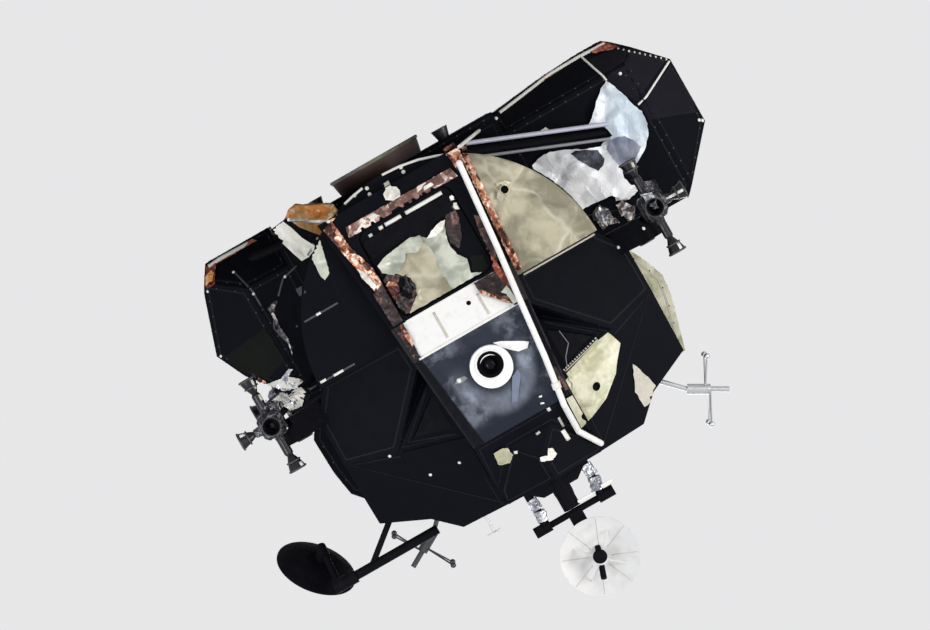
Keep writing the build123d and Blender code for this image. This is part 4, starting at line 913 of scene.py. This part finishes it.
# a thin grey line over the window panel
layRods("window_grey_line", {"look": "ashTape", "radius": 0.005, "runs": (mm(-500, 775, -530, 700, -600, 620,
    -585, 500),)})
apronCreases = {"look": "whiteTape", "width": 0.010, "lift": 0.003, "runs": (mm(-360, 150, 430, 150),
    mm(-240, -145, 400, -145))}
layTape("apron_creases", apronCreases)
apronFolds = {"look": "paleTape", "width": 0.020, "lift": 0.003, "runs": (mm(-185, 120, -180, -60),
    mm(180, 120, 180, -100))}
layTape("apron_folds", apronFolds)
turned("apron_hole", "blackDull", mm(18, 2, 10, 1, 0.5, 1), [skins["outside"].hit("photo", -0.09, -0.03)])
browMarks = {
    "brow_mark_high": {"look": "whiteTape", "width": 0.036, "runs": (mm(-235, 1265, -232, 1175),)},
    "brow_mark_low": {"look": "paleTape", "width": 0.020, "runs": (mm(-252, 1155, -254, 1075),
        mm(-75, 1100, -40, 1105))},
    "brow_marks": {"look": "whiteTape", "width": 0.028, "runs": (mm(-232, 985, -205, 985), mm(-215, 925,
        -185, 915), mm(-225, 870, -200, 865), mm(160, 1135, 170, 1155))},
}
for name, tape in browMarks.items():
    layTape(name, {"lift": 0.006, **tape})
browBlob = {"look": "whiteFilm", "depth": 0.012, "size": 0.06, "step": 0.014, "lift": 0.004,
    "outline": mm(-100, 1310, -50, 1335, 0, 1315, 30, 1295, 20, 1270, -30, 1285, -60, 1240, -90, 1250)}
layFoil("brow_blob", browBlob)
browSquare = {"look": "creamFilm", "outline": mm(200, 1080, 240, 1060, 320, 1060, 330, 1160, 240, 1190,
    190, 1150), "depth": 0.014, "size": 0.1, "step": 0.018}
layFoil("brow_square", browSquare)
vent = skins["outside"].hit("photo", -0.62, 1.01)
turned("brow_vent", "blackDull", mm(34, 0, 34, 14, 26, 15, 20, 10, 0.5, 10), [vent])
# white dots painted as highlights where edges on the shaded side catch the light
roofGlints = {"look": "whitePaint", "radius": 0.013, "spots": mm(580, 1000, 820, 970, 1020, 690)}
layStuds("roof_glints", roofGlints)
beads = {"look": "paleTape", "radius": 0.008, "pitch": 0.024, "runs": (mm(-800, 690, -720, 715,
    -470, 780),)}
layStuds("window_beads", beads)
beadTape = {"look": "paleTape", "width": 0.010, "lift": 0.006, "runs": (mm(-810, 706, -720, 732,
    -470, 797),)}
layTape("window_bead_tape", beadTape)
browBracket = {"look": "brownFoil", "depth": 0.010, "size": 0.06, "step": 0.014, "lift": 0.006,
    "outline": mm(-432, 925, -402, 925, -395, 720, -428, 720)}
layFoil("brow_bracket", browBracket)
print("stage: nose and brow dressed")

# The big bay at the viewer's left: its blanket with painted shade and shadow, and tapes.
# the blanket's lower edge follows a shadow line; the bay below it is left black as painted shadow
bayBlanket = {"on": "hull", "look": "frostFilm", "depth": 0.055, "size": 0.22, "step": 0.024, "tear": 0.3,
    "lift": 0.006, "outline": mm(-1680, -150, -1600, -120, -1500, -140, -1450, -200, -1300, -220,
    -1205, -220, -1193, -300, -1158, -420, -1125, -500, -1078, -600, -1033, -670, -1030, -700, -1120, -730,
    -1200, -730, -1320, -680, -1420, -625, -1550, -575, -1630, -565, -1600, -480, -1640, -380, -1620, -330,
    -1600, -270, -1620, -200)}
bayLobe = {"on": "hull", "look": "blueFilm", "depth": 0.055, "size": 0.22, "step": 0.024, "tear": 0.3,
    "lift": 0.004, "outline": mm(-1580, -420, -1570, -580, -1680, -600, -1660, -700, -1560, -760,
    -1620, -800, -1720, -900, -1780, -950, -1850, -985, -1880, -920, -1920, -800, -1940, -720, -1970, -650,
    -1960, -550, -1920, -460, -1840, -380, -1760, -330, -1700, -310, -1620, -330)}
layFoil("bay_blanket", bayBlanket)
layFoil("bay_lobe", bayLobe)
bayFoils = {
    # a darker patch painted as shade on the blanket
    "bay_shade": ("shadeFilm", 55, 220, 24, 10, 0, mm(-1830, -415, -1740, -355, -1620, -345, -1600, -440,
        -1595, -530, -1630, -570, -1700, -570, -1760, -550, -1800, -490)),
    # a dark patch painted as the shadow cast on the blanket by the strut
    "bay_well": ("deepFilm", 55, 220, 24, 10, 0, mm(-1545, -475, -1500, -430, -1455, -420, -1410, -480,
        -1360, -570, -1335, -635, -1380, -635, -1450, -605, -1530, -555)),
    "bay_red": ("redFoil", 18, 60, 14, 4, 0, mm(-2060, -1160, -1980, -1170, -1860, -1215, -1860, -1250,
        -1975, -1250)),
    "bay_pink": ("copperFoil", 10, 70, 16, 4, 2, mm(-1520, -1225, -1380, -1215, -1370, -1250,
        -1490, -1255)),
    "bay_scrap": ("whiteFilm", 8, 50, 16, 4, 0, mm(-1290, -860, -1220, -870, -1210, -900, -1270, -910),
        {"on": "outside"}),
    "bay_pane_high": ("blackPane", 4, 500, 40, 1, 0, mm(-2360, -420, -1990, -560, -1980, -680,
        -2340, -850), {"rag": 0.0}),
    "bay_pane_low": ("blackPane", 4, 500, 40, 1, 0, mm(-2330, -900, -1970, -730, -1900, -860, -1860, -1000,
        -1800, -1190, -2030, -1180), {"rag": 0.0}),
}
layFoils(bayFoils, on="hull")
bayRods = {
    "bay_edge_rod": {"look": "whiteTape", "radius": 0.014, "runs": (mm(-1980, -1235, -1760, -1245,
        -1500, -1240, -1250, -1205, -1020, -1175), mm(-980, -1150, -800, -1135, -620, -1105))},
    "bay_line_rod": {"look": "whiteTape", "radius": 0.009, "runs": (mm(-1970, -705, -2050, -725,
        -2340, -875), mm(-1852, -985, -1845, -1030, -1820, -1100, -1775, -1235))},
}
for name, rods in bayRods.items():
    layRods(name, rods)
layStuds("bay_dots", {"look": "whitePaint", "radius": 0.014, "spots": mm(-2340, -355, -2320, -370,
    -1970, -980)})
layStuds("bay_dot_line", {"look": "paleTape", "radius": 0.0105, "pitch": 0.042, "runs": (mm(-2330, -900,
    -2020, -1180),)})
# two pale tubes along the strut's edges, painted as its highlights
strutHighlights = {"radius": 0.013, "high": Vector((0.028, -0.012, 0.052)), "low": Vector((-0.028, -0.012, -0.052)),
    "ends": (Vector((-1.742, -0.645, axisHeight - 0.610)), Vector((-0.665, -1.025, axisHeight - 1.045)))}
addTubes("strut_highlight_high", "ashTape", [[end + strutHighlights["high"] for end in strutHighlights["ends"]]],
    strutHighlights["radius"])
addTubes("strut_highlight_low", "mistTape", [[end + strutHighlights["low"] for end in strutHighlights["ends"]]],
    strutHighlights["radius"] * 1.4)
print("stage: big bay dressed")

# The shaded side: seams that only just show.
shadeSeams = {
    "right_seams": {"look": "greyTape", "width": 0.016, "runs": (mm(900, -60, 1300, -60), mm(780, -530,
        1150, -530), mm(1250, -400, 1300, -600, 1200, -780), mm(1300, -800, 1300, -930, 1350, -1130),
        mm(1150, -800, 1050, -900, 880, -940))},
    "right_marks": {"look": "whiteTape", "width": 0.020, "lift": 0.005, "runs": (mm(1000, -60, 1085, -60),
        mm(1150, -65, 1200, -65), mm(930, -530, 970, -530))},
}
for name, tape in shadeSeams.items():
    layTape(name, tape)
layRods("right_edge_rod", {"look": "whiteTape", "radius": 0.018, "runs": (mm(955, -1262, 1200, -1262,
    1400, -1265, 1500, -1255),)})
layStuds("right_dots", {"look": "whitePaint", "radius": 0.012, "spots": mm(1760, -620, 1600, -1100,
    1030, -905, 1305, -910, 1355, -1130)})
layFoil("right_square", {"look": "greyTape", "outline": mm(950, -720, 1010, -720, 1010, -780, 950, -780),
    "rag": 0.0, "depth": 0.002, "size": 0.1, "step": 0.02})
print("stage: right side dressed")

# Thruster blankets: dark crumpled foil round each block and over the outriggers' roots.
quads = {"offset": 1.679, "height": 0.03, "reach": 0.148, "side": 0.285, "end": 0.4}
for front, deep in (("front", -1), ("rear", 1)):
    for side, wide in (("left", -1), ("right", 1)):
        blanket(f"quad_blanket_{front}_{side}", {"on": f"quad_{front}_{side}", "look": "darkFoil",
            "reach": quads["reach"], "lift": 0.002, "depth": 0.013, "size": 0.085,
            "centre": (quads["offset"] * wide, quads["offset"] * deep, axisHeight + quads["height"]),
            "seed": wide + 2 * deep})
        # a bright rim at each bell's mouth
        rims = []
        centre = Vector((quads["offset"] * wide, quads["offset"] * deep, axisHeight + quads["height"]))
        bells = (((0, 0, 1), "end"), ((0, 0, -1), "end"), ((wide, 0, 0), "side"), ((0, deep, 0), "side"))
        for way, kind in bells:
            rims.append((centre + Vector(way) * (quads[kind] - 0.012), way))
        turned(f"bell_rims_{front}_{side}", "darkMetal", mm(69, -4, 74, -2, 75.2, 4, 74, 10, 69.8, 11.2,
            66, 8), rims)
        turned(f"bell_bands_{front}_{side}", "darkMetal", mm(52, -7, 59, -6, 59, 6, 55, 7),
            [(c - Vector(w) * 0.062, w) for c, w in rims])
quadGlints = {
    "glint_left_block": ("silverFoil", 20, 50, 13, 12, 0, mm(-1740, 70, -1680, 80, -1650, 0, -1660, -100,
        -1730, -60)),
    "glint_left_side": ("darkFoil", 20, 50, 13, 12, 0, mm(-1800, -20, -1740, -50, -1680, -120, -1720, -170,
        -1800, -150)),
    "glint_left_low": ("whiteFilm", 20, 50, 13, 12, 2, mm(-1650, -140, -1550, -110, -1460, -150,
        -1470, -200, -1600, -170)),
    "glint_left_root": ("smokeFoil", 20, 50, 13, 12, 3, mm(-1400, 10, -1320, -20, -1260, 0, -1250, -160,
        -1330, -190, -1380, -120)),
    "glint_left_mid": ("smokeFoil", 20, 50, 13, 12, 5, mm(-1570, -20, -1500, 50, -1460, 30, -1440, -120,
        -1500, -130)),
    "glint_right_fan": ("whiteFilm", 20, 50, 13, 12, 8, mm(1340, -40, 1400, 20, 1500, 10, 1560, -50,
        1500, -70, 1580, -130, 1500, -150, 1430, -110, 1360, -120)),
    "glint_right_sheet": ("whiteFilm", 20, 50, 13, 12, 9, mm(1300, -130, 1360, -110, 1460, -170,
        1550, -210, 1600, -270, 1500, -250, 1400, -240, 1340, -200)),
    "glint_right_copper": ("copperFoil", 20, 50, 13, 12, 10, mm(1570, -220, 1640, -220, 1620, -300,
        1580, -340, 1550, -280)),
    "glint_root_mark": ("silverFoil", 20, 50, 13, 22, 11, mm(-1370, -70, -1310, -50, -1280, -120,
        -1330, -180)),
    "glint_right_low": ("silverFoil", 20, 50, 13, 12, 4, mm(1310, -150, 1420, -130, 1500, -170, 1530, -200,
        1440, -240, 1340, -280, 1330, -260, 1420, -190)),
    "glint_right_high": ("silverFoil", 20, 50, 13, 12, 5, mm(1410, 20, 1470, 10, 1530, -70, 1500, -110,
        1430, -50)),
    "glint_right_mid": ("silverFoil", 20, 50, 13, 12, 6, mm(1520, -190, 1600, -140, 1660, -150,
        1580, -200)),
}
layFoils(quadGlints)
bellHighlights = {  # painted highlights down the bells
    "bell_highlights": {"look": "whiteTape", "width": 0.022, "runs": (mm(-1712, 365, -1715, 430),
        mm(-1800, 30, -1950, 32), mm(1640, 315, 1635, 430), mm(1840, -4, 1945, -12))},
    "bell_highlights_low": {"look": "paleTape", "width": 0.018, "runs": (mm(-1705, -190, -1712, -345),
        mm(1655, -170, 1648, -345))},
}
for name, tape in bellHighlights.items():
    layTape(name, {"lift": 0.0015, **tape})
blockDots = {"look": "whiteTape", "radius": 0.014, "spots": mm(-1540, 140, -1300, 170, -1530, 300,
    1600, 110)}
layStuds("block_dots", blockDots)
print("stage: thrusters dressed")

# Borders of tape and rows of studs inside the large flat faces, seen from all sides.
panelSeams = {
    "inset": 0.040, "width": 0.016, "lift": 0.0016, "part": 0.07,  # the tape
    "pitch": 0.115, "stud": 0.0065, "rise": 0.004,  # the studs
    "least": 0.05,  # smaller faces stay bare
    "off": 0.004, "room": 0.08,  # nothing is laid where another piece stands this near
}


def isFree(spot, out):
    # whether no other piece stands close over a spot
    return not skins["outside"].cast(spot + out * panelSeams["off"], out, panelSeams["room"])


def tapeCells(line):
    # one side of a border, cut into short cells
    if (line[1] - line[0]).length < (line[2] - line[1]).length:
        line = line[1:] + line[:1]
    count = max(1, round((line[1] - line[0]).length / panelSeams["part"]))
    for i in range(count):
        a, b = (line[0].lerp(line[1], (i + j) / count) for j in (0, 1))
        d, c = (line[3].lerp(line[2], (i + j) / count) for j in (0, 1))
        yield a, b, c, d


def dressPanels(name, nodes, look, studLook):
    spots, faces, studs = [], [], []
    for node in nodes:
        work = bmesh.new()
        work.from_mesh(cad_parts[node].data)
        bmesh.ops.remove_doubles(work, verts=work.verts, dist=1e-4)
        bmesh.ops.dissolve_limit(work, angle_limit=0.03, verts=work.verts, edges=work.edges)
        small = [f for f in work.faces if f.calc_area() < panelSeams["least"]]
        bmesh.ops.delete(work, geom=small, context="FACES")
        bmesh.ops.split_edges(work, edges=work.edges)
        rim = bmesh.ops.inset_individual(work, faces=work.faces, thickness=panelSeams["inset"])["faces"]
        bmesh.ops.delete(work, geom=rim, context="FACES")
        for face in work.faces:
            out = face.normal.copy()
            line = [v.co.copy() for v in face.verts]
            for a, b in zip(line, line[1:] + line[:1]):
                count = int((b - a).length / panelSeams["pitch"])
                studs += [(a.lerp(b, (i + 0.5) / count), out) for i in range(count)]
        seams = bmesh.ops.inset_individual(work, faces=work.faces, thickness=panelSeams["width"])["faces"]
        for ring in (ring for ring in seams if len(ring.verts) == 4):
            out = ring.normal.copy()
            for cell in tapeCells([v.co.copy() for v in ring.verts]):
                if isFree(sum(cell, Vector()) / 4, out):
                    faces.append(range(len(spots), len(spots) + 4))
                    spots += [corner + out * panelSeams["lift"] for corner in cell]
        work.free()
    if faces:
        mesh = meshOf(name + "_tape", spots, faces)
        thicken(addPiece(name + "_tape", look, mesh, smooth=False), filmThickness)
    studs = [(spot, out) for spot, out in studs if isFree(spot, out)]
    if studs:
        turned(name + "_studs", studLook, dome(panelSeams["stud"], panelSeams["rise"]), studs, sides=8)


dressPanels("bays", ("tank_bay_left", "tank_bay_right", "upper_bay_right"), "blackSeam", "greyTape")
dressPanels("film_bay", ("upper_bay_left",), "paleTape", "greyTape")
dressPanels("aft", ("aft_bay", "aft_shield"), "blackSeam", "greyTape")
dressPanels("cabin", ("window_panel_left", "window_panel_right", "brow_panel", "midsection"), "blackSeam",
    "blackSeam")
dressPanels("floor_shield", ("base_shield",), "blackSeam", "greyTape")
print("stage: panels dressed")

# The rendezvous radar: foil on its legs, a black bar and cap over the dish's middle painted as its feed's
# shadow and shade, its rim and the dish's seams.
for side, run in (("left", ((-0.252, -1.44, 2.815), (-0.262, -1.445, 2.93), (-0.240, -1.44, 3.035))),
                  ("right", ((0.245, -1.44, 2.845), (0.236, -1.445, 2.95), (0.252, -1.44, 3.035)))):
    sleeve(f"radar_leg_foil_{side}", {"look": "silverFoil", "radius": 0.036, "depth": 0.026, "size": 0.06,
        "seed": len(side), "runs": (run,), "step": 0.014, "sides": 20})
addBoxes("radar_marks", "whiteTape", [((-0.325, -1.492, 3.022), (0.10, 0.012, 0.030), 0),
    ((-0.125, -1.508, 3.034), (0.13, 0.012, 0.024), 0)], 0.004)
# a black bar painted as the feed's shadow across the dish
addTubes("radar_shadow_bar", "blackSoft", [[(-0.02, -1.535, 3.41), (0.0, -1.60, 3.47), (0.058, -1.712, 3.625)]],
    0.024, "radar_dish")
# a black cap painted as shade over the feed's small reflector
turned("radar_shade_cap", "blackSoft", mm(50, -4, 56, 4, 44, 12, 0.5, 16), [(skins["radar_dish"].hit("photo",
    0.0, 2.167)[0], (0, -1, 0))], "radar_dish")
turned("radar_rim", "greyTape", mm(300, -3, 305, -7, 309.8, -4, 309.8, 4, 305, 6, 300, 2),
    [((0.0, -1.615, 3.476), (0, -1, 0))], "radar_dish", 64)
dishRuns = []
for a in (math.radians(22.5 + 45 * i) for i in range(8)):
    dishRuns.append([(r * math.cos(a), 2.166 + r * math.sin(a)) for r in (0.09, 0.298)])
dishLines = {"on": "radar_dish", "body": "radar_dish", "look": "paleTape", "width": 0.006, "lift": 0.0012,
    "step": 0.02, "runs": dishRuns}
layTape("radar_dish_seams", dishLines)
radarCables = {
    "left": ((-0.06, -1.37, 2.80), (-0.075, -1.372, 2.92), (-0.05, -1.375, 3.02), (-0.02, -1.38, 3.05)),
    "right": ((0.06, -1.37, 2.80), (0.07, -1.372, 2.90), (0.05, -1.375, 3.0), (0.03, -1.38, 3.05)),
}
addTubes("radar_cables", "blackSoft", radarCables.values(), 0.009, smooth=True)
print("stage: radar dressed")

# Tunnel, engine and tail.
tunnel = {"ring": 0.478, "top": 2.83, "bolts": 24, "latches": 12, "latchRing": 0.448}
bolts = [(spot, (0, 0, 1)) for spot, _ in around(tunnel["bolts"], tunnel["ring"], tunnel["top"])]
turned("tunnel_bolts", "bareMetal", mm(11, -1, 11, 6, 8, 9, 0.5, 9), bolts, sides=6, smooth=False)
latches = []
for spot, a in around(tunnel["latches"], tunnel["latchRing"], tunnel["top"] + 0.006, 0.5):
    latches.append((spot, (0.030, 0.022, 0.014), math.degrees(a)))
addBoxes("tunnel_latches", "darkMetal", latches, 0.003)
bell = {"rim": -0.041, "bands": (0.13, 0.30, 0.46)}
engine = Skin(["ascent_engine"])
turned("bell_rim", "creamFilm", mm(387, -8, 397.5, -11, 403, -5, 402, 10, 388, 18), [((0, 0, bell["rim"]),
    (0, 0, 1))], sides=72)
for i, height in enumerate(bell["bands"]):
    reach = -engine.cast(Vector((-2, 0, height)), Vector((1, 0, 0)))[0].x
    turned(f"bell_band_{i + 1}", "bellMetal", ((reach - 0.004, -0.014), (reach + 0.005, -0.010),
        (reach + 0.005, 0.010), (reach - 0.006, 0.014)), [((0, 0, height), (0, 0, 1))], sides=72)
tail = {"covers": ((-0.42, 0.40, 0.62, 0.56), (0.42, 0.40, 0.62, 0.56), (-0.42, -0.36, 0.62, 0.62),
    (0.42, -0.36, 0.62, 0.62)), "corners": ((-1, -1), (1, -1), (1, 1), (-1, 1)), "studs": 0.47}
for i, (x, z, wide, high) in enumerate(tail["covers"]):
    outline = [(x + wide * s / 2, z + high * r / 2) for s, r in tail["corners"]]
    layFoil(f"aft_cover_{i + 1}", {"look": ("blackPane", "blackSeam")[i % 2], "view": "back",
        "outline": outline, "rag": 0.0, "depth": 0.010, "size": 0.30, "step": 0.035, "lift": 0.003,
        "seed": i})
    edge = [(x + wide * s * tail["studs"], z + high * r * tail["studs"]) for s, r in tail["corners"]]
    layStuds(f"aft_cover_studs_{i + 1}", {"look": "greyTape", "view": "back", "radius": 0.008,
        "pitch": 0.09, "runs": (edge + edge[:1],), "height": 0.016})
print("stage: tunnel, engine and tail dressed")


def setStudio():
    scene = bpy.context.scene
    scene.view_settings.view_transform = "Standard"
    scene.world = bpy.data.worlds.new("studio")
    scene.world.use_nodes = True
    air = Nodes(scene.world.node_tree)
    air.tree.nodes.clear()
    rays = air.add("ShaderNodeLightPath", {}).socket.node.outputs
    kinds = ("Camera", "Transmission", "Glossy")
    straight, through, shine = (Wire(air, rays[f"Is {kind} Ray"]) for kind in kinds)
    seen = straight.maths("MAXIMUM", straight.maths("MAXIMUM", straight, through), shine)
    soft = air.add("ShaderNodeBackground", {}, studio["paper"], studio["fill"])
    pale = air.add("ShaderNodeBackground", {}, studio["paper"], 1.0)
    air.add("ShaderNodeOutputWorld", {}, air.add("ShaderNodeMixShader", {}, seen, soft, pale))
    for index, (place, size, power, colour) in enumerate(studio["lamps"]):
        data = bpy.data.lights.new(f"lamp{index}", "AREA")
        data.size = size
        data.energy = power
        data.color = colour
        lamp = bpy.data.objects.new(f"lamp{index}", data)
        scene.collection.objects.link(lamp)
        lamp.location = place
        aim = Vector((0, 0, axisHeight)) - lamp.location
        lamp.rotation_euler = aim.to_track_quat("-Z", "Y").to_euler()
    mesh = bpy.data.meshes.new("floor")
    ring = [spot for spot, _ in around(64, studio["floorSize"], studio["floorLevel"])]
    mesh.from_pydata(ring, [], [list(range(len(ring)))])
    floor = bpy.data.objects.new("floor", mesh)
    scene.collection.objects.link(floor)
    sheet = Sheet("floorPaper", Roughness=0.85)
    grain = sheet.cloud(60.0, 4.0)
    sheet.set("Base Color", sheet.blend(grain, (0.76, 0.76, 0.77), (0.80, 0.80, 0.81)))
    share = sheet.vector("LENGTH", sheet.place, out="Value").step(*studio["fade"])
    light = sheet.add("ShaderNodeEmission", {}, studio["paper"], 1.0)
    lit = sheet.add("ShaderNodeMixShader", {}, share, Wire(sheet, sheet.shader.outputs[0]), light)
    under = sheet.add("ShaderNodeNewGeometry", {}, out="Backfacing")
    mixed = sheet.add("ShaderNodeMixShader", {}, under, lit, sheet.add("ShaderNodeBsdfTransparent", {}))
    sheet.tree.links.new(mixed.socket, sheet.tree.nodes["Material Output"].inputs[0])
    mesh.materials.append(sheet.material)
    floor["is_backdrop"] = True


setStudio()
print("stage: studio set")

low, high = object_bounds()
